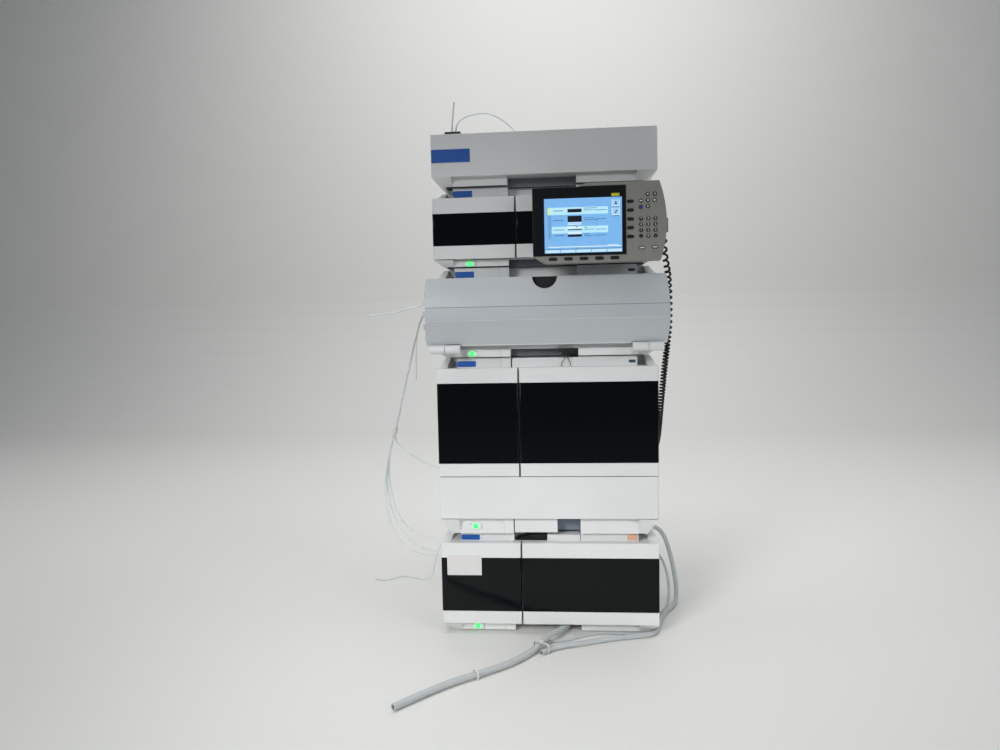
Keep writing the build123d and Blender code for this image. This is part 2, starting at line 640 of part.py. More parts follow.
# ---------------------------------------------------------------- handheld controller
CTRL_Y = Y0 - CTRL_FRONT
CTRL_LEFT = -17.0
CTRL_RIGHT = 196.0
CTRL_BULGE = 206.0
CTRL_LOW = 670.0
CTRL_HIGH = 803.5
BEZEL_X1 = 139.3
BEZEL_Z0 = 682.5
BEZEL_Z1 = 797.0
SCREEN_X0 = 2.0
SCREEN_X1 = 132.0
SCREEN_Z0 = 687.5
SCREEN_Z1 = 778.5


def controller_shell():
    """Hand-held housing with a bulged right side and hooks over the detector's doors."""
    mid = (CTRL_LOW + CTRL_HIGH) / 2
    y = CTRL_Y
    curve = [
        Line((CTRL_LEFT, y, BEZEL_Z0 - 1), (4, y, CTRL_LOW)),
        Line((4, y, CTRL_LOW), (CTRL_RIGHT, y, CTRL_LOW + 2)),
        ThreePointArc((CTRL_RIGHT, y, CTRL_LOW + 2), (CTRL_BULGE, y, mid), (CTRL_RIGHT - 2, y, CTRL_HIGH)),
        Line((CTRL_RIGHT - 2, y, CTRL_HIGH), (72, y, CTRL_HIGH)),
        Line((72, y, CTRL_HIGH), (60, y, BEZEL_Z1)),
        Line((60, y, BEZEL_Z1), (CTRL_LEFT, y, BEZEL_Z1)),
        Line((CTRL_LEFT, y, BEZEL_Z1), (CTRL_LEFT, y, BEZEL_Z0 - 1)),
    ]
    shell = extrude(make_face(Wire(curve)), amount=CTRL_T, dir=(0, 1, 0))
    shell = chamfer(shell.faces().sort_by(Axis.Y)[-1].edges(), 5.0)
    shell -= block(CTRL_LEFT - 1, BEZEL_X1, y - 1, y + BEZEL_T - BEZEL_PROUD, BEZEL_Z0, BEZEL_Z1 + 1)
    rest = y + CTRL_T
    shell += block(50, 170, rest - 1, Y0 - 6, 700, 780)
    door_top = DETECTOR.high
    for x in (70.0, 140.0):
        shell += block(x, x + 20, rest - 8, Y0 + NAME_STRIP_Y - 0.4, door_top + 0.3, door_top + 3.6)
        shell += block(x, x + 20, Y0 - 7, Y0 - 0.3, 704, 720)
    shell += block(186, CTRL_BULGE, rest - 1, rest + 15, 728, 742)
    shell += rod((CTRL_BULGE, rest + 7.5, 721.5), (0, 0, 1), 24, 7.5)
    return shell


def controller_bezel():
    """Black front plate with the screen's opening."""
    y = CTRL_Y - BEZEL_PROUD
    plate = block(CTRL_LEFT - 1, BEZEL_X1 - 0.2, y, y + BEZEL_T - 0.05, BEZEL_Z0 + 0.2, BEZEL_Z1)
    plate -= block(SCREEN_X0, SCREEN_X1, y - 1, y + BEZEL_T + 1, SCREEN_Z0, SCREEN_Z1)
    return fillet(plate.edges().filter_by(Axis.Y).filter_by(lambda e: e.center().X < CTRL_LEFT + 5), 1.5)


def controller_screen():
    """Glass of the display, set back in the bezel."""
    y = CTRL_Y - BEZEL_PROUD + SCREEN_SINK
    return block(SCREEN_X0 + 0.1, SCREEN_X1 - 0.1, y, y + SCREEN_T, SCREEN_Z0 + 0.1, SCREEN_Z1 - 0.1)


def key(x, z, w, h):
    """One silicone key, rounded, standing on the shell's face."""
    body = block(x - w / 2, x + w / 2, CTRL_Y - KEY_PROUD, CTRL_Y - 0.01, z - h / 2, z + h / 2)
    return fillet(body.edges().filter_by(Axis.Y), min(w, h) / 2 - 0.1)


def controller_keypad():
    """All keys of the silicone keypad."""
    keys = []
    for i in range(5):
        keys.append(key(145.9, 712.0 + 14.55 * i, 11.5, 5.4))
        keys.append(key(15.7 + 26.0 * i, 677.6, 14.5, 5.6))
    for x, z in ((174.6, 781.0), (186.6, 781.5), (163.5, 770.7), (175.0, 770.9), (186.0, 771.2), (163.1, 760.2),
                 (174.8, 761.2)):
        keys.append(key(x, z, 6.4, 6.2))
    for row in range(4):
        for col in range(3):
            keys.append(key(163.5 + 11.9 * col, 712.3 + 9.6 * row, 6.4, 6.2))
    keys.append(key(165.3, 693.0, 10.6, 4.6))
    keys.append(key(186.2, 693.5, 10.6, 4.6))
    return keys


# ---------------------------------------------------------------- feet
def foot_places():
    """Centres of the four pads."""
    return [(x, y) for x in (-FOOT_X, FOOT_X) for y in (Y0 + FOOT_IN, PUMP.back - FOOT_IN)]


def rubber_feet():
    """Four pads let into the bottom of the pump."""
    return [rod((x, y, 0), (0, 0, 1), FOOT_T, FOOT_R) for x, y in foot_places()]


def foot_wells():
    """Pockets that the pads sit in."""
    return [rod((x, y, -1), (0, 0, 1), FOOT_T + 1, FOOT_R + 0.1) for x, y in foot_places()]


# ---------------------------------------------------------------- tubing and cords
LINE_D = 3.0
HOSE_A_D = 9.0
HOSE_B_D = 11.0
THIN_HOSE_D = 5.5
CURLY_D = 12.5
BUNDLE_PITCH = 4.5


def tube(name, diameter, route, limp=True):
    """Tube along straight runs joined by tangent arcs; route holds (x, depth, z) points."""
    points = [Vector(x, Y0 + depth, z) for x, depth, z in route]
    radii = []
    for a, b, c in zip(points, points[1:], points[2:]):
        turn = (b - a).get_angle(c - b)
        run = min((b - a).length, (c - b).length)
        radii.append(0.45 * run / tan(radians(turn) / 2))
    path = FilletPolyline(*points, radius=radii)
    solid = sweep(Plane(origin=path @ 0, z_dir=path % 0) * Circle(diameter / 2), path=path)
    expected = pi * diameter ** 2 / 4 * path.length
    least = (3 if limp else 5) * diameter
    flag = "" if min(radii) >= least else "  TIGHT"
    print(f"{name}: length {path.length:.0f}, least radius {min(radii):.1f} of {least:.1f},"
          f" volume ratio {solid.volume / expected:.4f}{flag}")
    return solid


BUNDLE_TOP = [(-198, 604), (-214, 604), (-231, 586), (-244, 543), (-255.5, 498), (-267, 452), (-279, 405),
              (-292, 357), (-302, 318)]
BUNDLE_ENDS = [
    [(-309, 274), (-307, 226), (-295, 182), (-270, 149), (-234, 133), (-198, 133)],
    [(-306, 277), (-302, 234), (-289, 196), (-265, 163), (-232, 141), (-198, 141)],
    [(-302, 280), (-297, 240), (-284, 205), (-262, 180), (-231, 164), (-198, 164)],
]


def solvent_line(i):
    """One of the three clear lines that run from the column compartment to the pump."""
    depth = 40 + BUNDLE_PITCH * i
    return [(x, depth, z) for x, z in BUNDLE_TOP + BUNDLE_ENDS[i]]


ROUTES = {
    "solvent_line_a": (LINE_D, solvent_line(0)),
    "solvent_line_b": (LINE_D, solvent_line(1)),
    "solvent_line_c": (LINE_D, solvent_line(2)),
    "sampler_line": (LINE_D, [
        (-198, 53.5, 301), (-214, 53.5, 301), (-237, 53.5, 312), (-260, 53.5, 326), (-281, 53.5, 341),
        (-291, 53.5, 360), (-283.5, 53.5, 389), (-276.5, 53.5, 413)]),
    "loose_line": (LINE_D, [
        (-198, 84, 612), (-218, 84, 612), (-246, 84, 606.5), (-278, 85, 598), (-311, 85, 593), (-341, 85, 590.5)]),
    "hanging_line": (LINE_D, [
        (-198, 96, 604), (-215, 96, 604), (-237, 96, 592), (-250, 96, 563), (-253, 96, 512), (-254.5, 96, 463)]),
    "floor_line": (LINE_D, [
        (-198, 250, 110), (-214, 250, 110), (-236, 256, 97), (-253, 264, 66), (-260, 271, 33), (-266, 279, 10),
        (-281, 283, 1.6), (-298, 283, 1.6), (-318, 296, 1.6), (-341, 302, 1.6), (-361, 280, 1.6),
        (-381, 269, 1.6), (-398, 282, 1.6)]),
    "tray_line": (LINE_D, [
        (-156, 17, 965), (-158.5, 14.5, 940), (-160.5, 12.5, 914), (-161, 12, 889), (-168, 18, 866),
        (-173, 36, 849), (-162, 54, 842), (-146, 52, 843), (-140, 34, 851), (-147, 17, 870), (-154, 12, 892),
        (-154.5, 12, 914), (-149, 14, 930), (-134, 19, 940), (-115, 26, 946), (-96, 36, 948), (-78, 46, 942),
        (-60, 56, 930), (-44, 66, 912), (-30, 78, 889), (-18, 94, 864), (-4, 116, 845), (16, 142, 839.2),
        (40, 160, 838.6)]),
    "drain_hose_a": (HOSE_A_D, [
        (198, 230, 140), (216, 230, 140), (235, 219, 128), (246, 198, 90), (254, 177, 40), (252, 157, 6.5),
        (240, 134, 4.6), (222.5, 105, 4.6), (208, 66, 4.6), (198.5, 27, 4.6), (188.5, 1.5, 4.6), (163, -8.5, 4.6),
        (131, -15.5, 4.6), (92, -29, 4.6), (50, -46, 4.8), (19, -59, 5.9), (-1, -70, 5.9), (-14, -85, 5.9)]),
    "drain_hose_b": (HOSE_B_D, [
        (33, 40, 10), (33, 22, 10), (25, 4, 11.8), (9, -20, 14.2), (-9, -48, 14.2), (-27, -80, 7.4),
        (-58, -122, 7.0), (-100, -158, 7.0), (-146, -190, 7.0), (-190, -232, 7.0), (-229, -275, 7.0)]),
    "drain_hose_thin": (THIN_HOSE_D, [
        (198, 190, 100), (213, 190, 100), (229, 180, 82), (238, 165, 46), (236, 150, 12), (228, 132, 3.4),
        (212, 101, 2.8), (198, 65, 2.8), (190, 30, 2.8), (182, 8.5, 2.8), (165, 2, 2.8), (142, 5, 2.8),
        (114, 7.5, 2.8), (88, 6, 2.8), (66, -3, 2.8), (46, -17, 2.8), (26, -28, 2.8), (2, -33, 2.8),
        (-22, -35, 2.8)]),
    "controller_cord": (CURLY_D, [
        (206, -14.5, 721.5), (206, -14.5, 700), (209, -6, 680), (215, 10, 661), (219.5, 26, 645), (221.5, 33, 620),
        (222, 32, 586), (220.5, 31, 553), (216.5, 30, 520), (212.5, 31, 486), (209.5, 35, 452), (207, 42, 418),
        (206, 54, 386), (205.5, 74, 352), (205.5, 110, 328), (206, 158, 314), (207, 222, 307), (208, 295, 306),
        (209, 360, 311), (216, 410, 317), (219, 456, 322), (199, 485.5, 327), (163, 492, 330),
        (127, 492, 330)]),
}
PLUG_Z = 330.0
PLUG_DEPTH = 492.0


def controller_plug():
    """Right-angled plug of the controller's cord on the autosampler's rear panel."""
    rear = SAMPLER.back + PANEL_T
    y = Y0 + PLUG_DEPTH
    body = block(98, 120, rear, y + 8, PLUG_Z - 9, PLUG_Z + 9)
    body = chamfer(body.faces().sort_by(Axis.Y)[-1].edges(), 2.5)
    collar = Plane(origin=(120, y, PLUG_Z), z_dir=(1, 0, 0))
    return body + loft([collar * Circle(6.0), collar.offset(7) * Circle(4.2)])


def band(centre, along, half_width, half_height, wall, wide):
    """Cable tie: a rounded loop of strap, square to the hoses that it holds."""
    plane = Plane(origin=centre, x_dir=Vector(along[1], -along[0], 0), z_dir=along)
    outer = plane * RectangleRounded(2 * (half_width + wall), 2 * (half_height + wall), half_height * 0.6)
    inner = plane * RectangleRounded(2 * half_width, 2 * half_height, half_height * 0.5)
    return extrude(outer - inner, amount=wide / 2, both=True)


def cable_ties():
    """Ties on the drain hoses and the clip on the clear lines."""
    first = band((-14.0, Y0 - 71, 9.3), (-0.56, -0.828, 0), 14.6, 8.0, 1.2, 4)
    head = block(-17.5, -11.5, Y0 - 74, Y0 - 68, 17.6, 21)
    second = band((-117, Y0 - 170, 7.2), (-0.821, -0.571, 0), 5.9, 5.9, 1.2, 4)
    lines = Plane(origin=(-288, Y0 + 40 + BUNDLE_PITCH * 1.5, 371.8), x_dir=(0, 1, 0), z_dir=(13, 0, 48))
    clip = extrude(lines * RectangleRounded(22, 7.5, 2) - lines * RectangleRounded(19, 4.6, 1.5), amount=5, both=True)
    return [first + head, second, clip]


def capillaries():
    """Thin steel lines from the nozzle under the column compartment to the autosampler's shelf."""
    solids = []
    top = COLUMN.low - LIP_GAP - 13.5
    for x, lean in ((33.0, -6.0), (39.0, 5.0)):
        points = [Vector(x, Y0 + 19, top), Vector(x, Y0 + 19, top - 5),
                  Vector(x + lean * 0.9, Y0 + 19.5, top - 14), Vector(x + lean, Y0 + 19.5, SAMPLER.high)]
        path = FilletPolyline(*points, radius=3.0)
        solids.append(sweep(Plane(origin=path @ 0, z_dir=path % 0) * Circle(0.6), path=path))
    return solids


# ---------------------------------------------------------------- write the nodes
pump_base, pump_cover = halves(PUMP, PUMP.low, PUMP.high, PUMP.split, True, True)
for well in foot_wells():
    pump_base -= well
sampler_base, sampler_cover = halves(SAMPLER, SAMPLER_DOOR_LOW, SAMPLER.high, SAMPLER_BAY_LOW, True, True)
column_base, column_cover = halves(COLUMN, COLUMN.low, COLUMN.high, COLUMN.split, False, False)
detector_base, detector_cover = halves(DETECTOR, DETECTOR.low, DETECTOR.high, DETECTOR.split, True, True)

save("pump_base", pump_base)
save("pump_cover", pump_cover + purge_block())
save("sampler_base", sampler_base)
save("sampler_cover", sampler_cover)
save("column_base", column_base)
save("column_cover", column_cover)
save("detector_base", detector_base)
save("detector_cover", detector_cover)

pins = column_pins()
for name, low, high in (("pump", PUMP.low, PUMP.high), ("sampler", SAMPLER_DOOR_LOW, SAMPLER.high),
                        ("detector", DETECTOR.low, DETECTOR.high)):
    for label, side, inner in (("left", -1, SEAM_X - DOOR_SEAM / 2), ("right", 1, SEAM_X + DOOR_SEAM / 2)):
        save(f"{name}_{label}_door", flat_door(side, inner, low, high))
        save(f"{name}_{label}_window", pane(side, inner, low, high))
    pins += door_pins(low, high)
save("hinge_pins", group(pins))

panel = block(-HALF, HALF, Y0, FRONT, SAMPLER.low, SAMPLER_DOOR_LOW - DOOR_GAP)
save("sampler_front_panel", fillet(panel.edges().filter_by(Axis.Z).filter_by(
    lambda e: e.center().Y < Y0 + 0.1), DOOR_FRONT_R))

for name, module in (("pump", PUMP), ("sampler", SAMPLER), ("column", COLUMN), ("detector", DETECTOR)):
    save(f"{name}_power_button", power_button(module))

save("column_door", column_door())
save("column_hinges", group(column_hinges()))
save("columns", group(columns()))
save("pump_heads", group(pump_heads()))
save("purge_valve", purge_valve())
save("solvent_valve", solvent_valve())
save("injection_valve", group(injection_valve()))
save("sample_drawer", group(sample_drawer()))
save("flow_cell", flow_cell())
save("solvent_tray", solvent_tray())
save("tubing_clip", tubing_clip())
save("rear_panels", group(rear_panels()))
save("rear_sockets", group(rear_sockets()))
save("leak_funnels", group(leak_funnels()))
save("rubber_feet", group(rubber_feet()))
save("controller_shell", controller_shell())
save("controller_bezel", controller_bezel())
save("controller_screen", controller_screen())
save("controller_keypad", group(controller_keypad()))
save("controller_plug", controller_plug())
save("cable_ties", group(cable_ties()))
save("capillaries", group(capillaries()))
for name, (diameter, route) in ROUTES.items():
    save(name, tube(name, diameter, route))
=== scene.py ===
import math

import bpy
import numpy as np
from mathutils import Matrix
from bpy.props import FloatProperty, FloatVectorProperty, PointerProperty
from bpy.types import Operator, Panel, PropertyGroup


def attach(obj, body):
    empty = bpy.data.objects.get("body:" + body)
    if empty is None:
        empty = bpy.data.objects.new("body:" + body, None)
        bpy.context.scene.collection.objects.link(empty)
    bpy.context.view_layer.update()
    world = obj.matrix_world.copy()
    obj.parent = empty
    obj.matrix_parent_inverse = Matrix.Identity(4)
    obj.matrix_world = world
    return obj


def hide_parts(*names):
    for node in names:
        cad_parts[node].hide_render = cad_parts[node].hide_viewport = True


bl_info = {
    "name": "Chromatography Stack",
    "version": (1, 0, 0),
    "blender": (4, 5, 0),
    "location": "View3D > Sidebar > Chromatography",
    "description": "Stacked chromatography modules with doors, controller, hoses and tubing",
    "category": "Add Mesh",
}

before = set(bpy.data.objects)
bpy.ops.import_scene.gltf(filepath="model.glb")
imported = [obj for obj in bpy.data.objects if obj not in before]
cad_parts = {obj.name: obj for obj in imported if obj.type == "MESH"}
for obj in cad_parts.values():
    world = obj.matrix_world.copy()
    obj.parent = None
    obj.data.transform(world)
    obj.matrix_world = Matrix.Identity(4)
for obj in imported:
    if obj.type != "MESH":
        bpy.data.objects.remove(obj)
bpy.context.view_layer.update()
MM = 0.001
Y0 = -0.21125                 # front plane of the doors
SEAM = -0.050                 # middle of the gap between the left and right doors
STRIP_SEAMS = (0.1833, 0.509, 0.672, 0.8145)   # foot of each module above the pump
RECESS_X = (-0.0642, 0.0582)  # middle recess between the strips
SHADED_RECESSES = ((0.5092, 0.5256), (0.6722, 0.6868), (0.8147, 0.8315))
BUTTON_X = -0.134
CUP_CENTRE = (0, 0, 0.6526)   # axis of the column door's finger cup
CUP_RADIUS = 0.0219
VENT_Z, VENT_PITCH, VENTS = 557.15, 21.2, 4    # vent slots of the column door, in millimetres
BEZEL_FACE = 51.0             # controller's surfaces before the front plane, in millimetres
SCREEN_FACE = 50.2
KEY_FACE = 51.5
KEY_X, KEY_PITCH_X = 163.5, 11.9
KEY_Z, KEY_PITCH_Z = 712.3, 9.6
ROOT = "stack"


def linear(code):
    """sRGB hex code as linear RGB."""
    parts = [int(code[i:i + 2], 16) / 255 for i in (1, 3, 5)]
    return [c / 12.92 if c <= 0.04045 else ((c + 0.055) / 1.055) ** 2.4 for c in parts]


def colour(name, code):
    """Colour property with an sRGB default."""
    return FloatVectorProperty(name=name, description=name, subtype="COLOR", size=3, min=0, max=1,
                               default=linear(code))


def length(name, value):
    """Length property in metres."""
    return FloatProperty(name=name, description=name, default=value, unit="LENGTH", precision=4)


class HPLC_PG_sizes(PropertyGroup):
    """Sizes a user would change."""
    line: length("Clear line diameter", 0.003)
    hose_a: length("Side drain hose diameter", 0.009)
    hose_b: length("Middle drain hose diameter", 0.011)
    hose_thin: length("Thin drain hose diameter", 0.0055)
    coil_wire: length("Coiled cord's own diameter", 0.0041)
    coil_width: length("Coil diameter", 0.0125)
    coil_pitch: length("Coil pitch where it hangs stretched", 0.0108)
    coil_top: length("Coil pitch at the controller", 0.0145)
    coil_close: length("Coil pitch where it lies", 0.0058)
    edge: length("Moulded edge rounding", 0.0009)
    plate: length("Name plate thickness", 0.0005)


class HPLC_PG_colours(PropertyGroup):
    """Colours a user would change."""
    white: colour("White housings", "#E4E6E5")
    grey: colour("Column door", "#C2C7CA")
    smoke: colour("Smoked panes", "#05090B")
    plate: colour("Name plates", "#0056AE")
    controller: colour("Controller housing", "#8F8F88")
    bezel: colour("Controller front", "#0A0B0C")
    screen: colour("Display", "#78B2E8")
    lamp: colour("Power lamps", "#35D06A")
    hose: colour("Drain hoses", "#C9CECF")
    clear: colour("Clear lines", "#E8EDEF")
    cord: colour("Coiled cord", "#0C0C0D")


def sizes():
    return bpy.context.scene.hplc_sizes


def colours():
    return bpy.context.scene.hplc_colours


# ---------------------------------------------------------------- shader helper
def add(tree, kind, settings=None, inputs=None):
    """Adds one node, sets its properties, and sets its inputs or links them from (node, output)."""
    node = tree.nodes.new(kind)
    for key, value in (settings or {}).items():
        setattr(node, key, value)
    for key, value in (inputs or {}).items():
        if isinstance(value, tuple) and isinstance(value[0], bpy.types.Node):
            tree.links.new(value[0].outputs[value[1]], node.inputs[key])
        else:
            node.inputs[key].default_value = value
    return node


def fresh(name):
    """Empty material with its tree and Object coordinates."""
    mat = bpy.data.materials.new(name)
    mat.use_nodes = True
    tree = mat.node_tree
    tree.nodes.clear()
    place = add(tree, "ShaderNodeTexCoord")
    return mat, tree, place


def finish_tree(tree, shader, out="BSDF"):
    """Joins the shader to the material output."""
    add(tree, "ShaderNodeOutputMaterial", inputs={"Surface": (shader, out)})


def moulded_abs(name, tint, roughness=0.4, tone=0.03, grain_mm=0.9):
    """Injection-moulded ABS: fine spark-eroded grain, faintly uneven tone and gloss."""
    mat, tree, place = fresh(name)
    patch = add(tree, "ShaderNodeTexNoise", inputs={"Vector": (place, "Object"), "Scale": 7.0, "Detail": 4.0})
    level = add(tree, "ShaderNodeMapRange", inputs={"Value": (patch, "Fac"), "From Min": 0.3, "From Max": 0.7,
                                                    "To Min": 1 - tone, "To Max": 1 + tone})
    shade = add(tree, "ShaderNodeHueSaturation", inputs={"Color": (*tint, 1), "Value": (level, "Result")})
    grain = add(tree, "ShaderNodeTexNoise", inputs={"Vector": (place, "Object"), "Scale": 1 / (grain_mm * MM),
                                                    "Detail": 2.0})
    bump = add(tree, "ShaderNodeBump", inputs={"Height": (grain, "Fac"), "Strength": 0.12,
                                               "Distance": 0.0002})
    wear = add(tree, "ShaderNodeMapRange", inputs={"Value": (patch, "Fac"), "From Min": 0.3, "From Max": 0.7,
                                                   "To Min": roughness - 0.05, "To Max": roughness + 0.08})
    skin = add(tree, "ShaderNodeBsdfPrincipled", inputs={
        "Base Color": (shade, "Color"), "Roughness": (wear, "Result"), "Normal": (bump, "Normal"),
        "IOR": 1.53})
    finish_tree(tree, skin)
    return mat


def band_mask(tree, where, axis, low, high):
    """1 where the object's own coordinate lies between the two heights, else 0."""
    above = add(tree, "ShaderNodeMath", {"operation": "GREATER_THAN"}, {0: (where, axis), 1: low})
    below = add(tree, "ShaderNodeMath", {"operation": "LESS_THAN"}, {0: (where, axis), 1: high})
    return add(tree, "ShaderNodeMath", {"operation": "MULTIPLY"}, {0: (above, "Value"), 1: (below, "Value")})


def repaint(mat, code, regions):
    """Gives parts of a moulded piece another colour: each region is a list of (axis, low, high)."""
    tree = mat.node_tree
    skin = next(n for n in tree.nodes if n.type == "BSDF_PRINCIPLED")
    place = next(n for n in tree.nodes if n.type == "TEX_COORD")
    where = add(tree, "ShaderNodeSeparateXYZ", inputs={"Vector": (place, "Object")})
    total = None
    for region in regions:
        part = None
        for axis, low, high in region:
            if axis == "cup":
                # Distance from the finger cup's axis, which runs along Y.
                across = add(tree, "ShaderNodeCombineXYZ", inputs={"X": (where, "X"), "Z": (where, "Z")})
                off = add(tree, "ShaderNodeVectorMath", {"operation": "DISTANCE"}, {0: (across, "Vector")})
                off.inputs[1].default_value = CUP_CENTRE
                mask = add(tree, "ShaderNodeMath", {"operation": "LESS_THAN"}, {0: (off, "Value"), 1: high})
            else:
                mask = band_mask(tree, where, axis, low, high)
            part = mask if part is None else add(tree, "ShaderNodeMath", {"operation": "MULTIPLY"},
                                                 {0: (part, "Value"), 1: (mask, "Value")})
        total = part if total is None else add(tree, "ShaderNodeMath", {"operation": "MAXIMUM"},
                                               {0: (total, "Value"), 1: (part, "Value")})
    source = skin.inputs["Base Color"].links[0].from_socket
    mix = add(tree, "ShaderNodeMix", {"data_type": "RGBA"}, {"Factor": (total, "Value")})
    tree.links.new(source, mix.inputs[6])
    mix.inputs[7].default_value = (*linear(code), 1)
    tree.links.new(mix.outputs[2], skin.inputs["Base Color"])
    return mat


def smoked_acrylic(name, tint):
    """Smoked cast acrylic: polished, nearly black, with the inside just showing and faint wipe marks."""
    mat, tree, place = fresh(name)
    marks = add(tree, "ShaderNodeTexNoise", inputs={"Vector": (place, "Object"), "Scale": 14.0, "Detail": 6.0,
                                                    "Distortion": 1.2})
    level = add(tree, "ShaderNodeMapRange", inputs={"Value": (marks, "Fac"), "From Min": 0.35,
                                                    "From Max": 0.75,
                                                    "To Min": 0.05, "To Max": 0.16})
    skin = add(tree, "ShaderNodeBsdfPrincipled", inputs={
        "Base Color": (*tint, 1), "Roughness": (level, "Result"), "IOR": 1.49, "Alpha": 0.98,
        "Specular IOR Level": 0.22})
    finish_tree(tree, skin)
    return mat


def machined_steel(name, code="#C9CACB"):
    """Turned stainless steel: bright, with fine tool marks."""
    mat, tree, place = fresh(name)
    marks = add(tree, "ShaderNodeTexNoise", inputs={"Vector": (place, "Object"), "Scale": 900.0,
                                                    "Detail": 2.0})
    level = add(tree, "ShaderNodeMapRange", inputs={"Value": (marks, "Fac"), "To Min": 0.22, "To Max": 0.4})
    skin = add(tree, "ShaderNodeBsdfPrincipled", inputs={
        "Base Color": (*linear(code), 1), "Metallic": 1.0, "Roughness": (level, "Result")})
    finish_tree(tree, skin)
    return mat


def coated_sheet(name, code):
    """Powder-coated sheet steel at the back: even satin with a fine orange-peel surface."""
    mat, tree, place = fresh(name)
    peel = add(tree, "ShaderNodeTexNoise", inputs={"Vector": (place, "Object"), "Scale": 700.0,
                                                   "Detail": 3.0})
    bump = add(tree, "ShaderNodeBump", inputs={"Height": (peel, "Fac"), "Strength": 0.2, "Distance": 0.0002})
    skin = add(tree, "ShaderNodeBsdfPrincipled", inputs={
        "Base Color": (*linear(code), 1), "Roughness": 0.45, "Metallic": 0.2, "Normal": (bump, "Normal")})
    finish_tree(tree, skin)
    return mat


def satin(name, tint, roughness=0.4, grain_mm=1.0, strength=0.15, coat=0.0):
    """Plain moulded polymer: one tone, with a light surface grain."""
    mat, tree, place = fresh(name)
    grain = add(tree, "ShaderNodeTexNoise", inputs={"Vector": (place, "Object"), "Scale": 1 / (grain_mm * MM),
                                                    "Detail": 2.0})
    bump = add(tree, "ShaderNodeBump", inputs={"Height": (grain, "Fac"), "Strength": strength,
                                               "Distance": 0.0002})
    skin = add(tree, "ShaderNodeBsdfPrincipled", inputs={
        "Base Color": (*tint, 1), "Roughness": roughness, "Normal": (bump, "Normal"), "Coat Weight": coat})
    finish_tree(tree, skin)
    return mat


def clear_pvc(name, tint, body=0.55, roughness=0.25, coat=0.2):
    """Extruded soft PVC or PFA tube: milky, lets light into its wall, glossy skin with small scuffs."""
    mat, tree, place = fresh(name)
    haze = add(tree, "ShaderNodeTexNoise", inputs={"Vector": (place, "Object"), "Scale": 60.0, "Detail": 4.0})
    level = add(tree, "ShaderNodeMapRange", inputs={"Value": (haze, "Fac"), "To Min": roughness - 0.08,
                                                    "To Max": roughness + 0.15})
    skin = add(tree, "ShaderNodeBsdfPrincipled", inputs={
        "Base Color": (*tint, 1), "Roughness": (level, "Result"), "IOR": 1.4, "Alpha": body + 0.35,
        "Subsurface Weight": body, "Subsurface Scale": 0.004, "Subsurface Radius": (1, 1, 1),
        "Coat Weight": coat, "Coat Roughness": 0.1})
    finish_tree(tree, skin)
    return mat


def lit_display(name, tint):
    """Liquid crystal display behind matt film: lit by itself, its brightness slightly uneven."""
    mat, tree, place = fresh(name)
    rows = add(tree, "ShaderNodeTexNoise", inputs={"Vector": (place, "Object"), "Scale": 60.0, "Detail": 1.0})
    level = add(tree, "ShaderNodeMapRange", inputs={"Value": (rows, "Fac"), "To Min": 0.93, "To Max": 1.07})
    shade = add(tree, "ShaderNodeHueSaturation", inputs={"Color": (*tint, 1), "Value": (level, "Result")})
    skin = add(tree, "ShaderNodeBsdfPrincipled", inputs={
        "Base Color": (*(c * 0.1 for c in tint), 1), "Roughness": 0.35, "Emission Color": (shade, "Color"),
        "Emission Strength": 1.0})
    finish_tree(tree, skin)
    return mat


def light_pipe(name, tint):
    """Frosted white light pipe with a green lamp behind its middle."""
    mat, tree, place = fresh(name)
    where = add(tree, "ShaderNodeSeparateXYZ", inputs={"Vector": (place, "Object")})
    off = add(tree, "ShaderNodeMath", {"operation": "ADD"}, {0: (where, "X"), 1: -BUTTON_X})
    away = add(tree, "ShaderNodeMath", {"operation": "ABSOLUTE"}, {0: (off, "Value")})
    frost = add(tree, "ShaderNodeTexNoise", inputs={"Vector": (place, "Object"), "Scale": 400.0})
    blur = add(tree, "ShaderNodeMapRange", inputs={"Value": (frost, "Fac"), "To Min": -0.0012,
                                                   "To Max": 0.0012})
    edge = add(tree, "ShaderNodeMath", {"operation": "ADD"}, {0: (away, "Value"), 1: (blur, "Result")})
    spot = add(tree, "ShaderNodeMapRange", {"interpolation_type": "SMOOTHSTEP"}, {
        "Value": (edge, "Value"), "From Min": 0.0018, "From Max": 0.0075, "To Min": 1.0, "To Max": 0.0})
    mix = add(tree, "ShaderNodeMix", {"data_type": "RGBA"}, {"Factor": (spot, "Result")})
    mix.inputs[6].default_value = (*linear("#E9ECEA"), 1)
    mix.inputs[7].default_value = (*tint, 1)
    power = add(tree, "ShaderNodeMath", {"operation": "MULTIPLY"}, {0: (spot, "Result"), 1: 1.3})
    skin = add(tree, "ShaderNodeBsdfPrincipled", inputs={
        "Base Color": (mix, 2), "Roughness": 0.4,
        "Emission Color": (*tint, 1), "Emission Strength": (power, "Value")})
    finish_tree(tree, skin)
    return mat


# ---------------------------------------------------------------- shape helpers
def surface(name, grid, material, close_u=True):
    """Mesh on a grid of points, first index round the outline, second along the levels; ends are capped."""
    n, m, _ = grid.shape
    index = np.arange(n * m).reshape(n, m)
    nxt = np.roll(index, -1, axis=0) if close_u else index[1:]
    cur = index if close_u else index[:-1]
    quads = np.stack([cur[:, :-1], nxt[:, :-1], nxt[:, 1:], cur[:, 1:]], axis=-1).reshape(-1, 4)
    faces = [tuple(q) for q in quads.tolist()]
    if close_u:
        faces.append(tuple(index[::-1, 0].tolist()))
        faces.append(tuple(index[:, -1].tolist()))
    mesh = bpy.data.meshes.new(name)
    mesh.from_pydata(grid.reshape(-1, 3).tolist(), [], faces)
    mesh.validate()
    obj = bpy.data.objects.new(name, mesh)
    bpy.context.scene.collection.objects.link(obj)
    mesh.materials.append(material)
    return obj


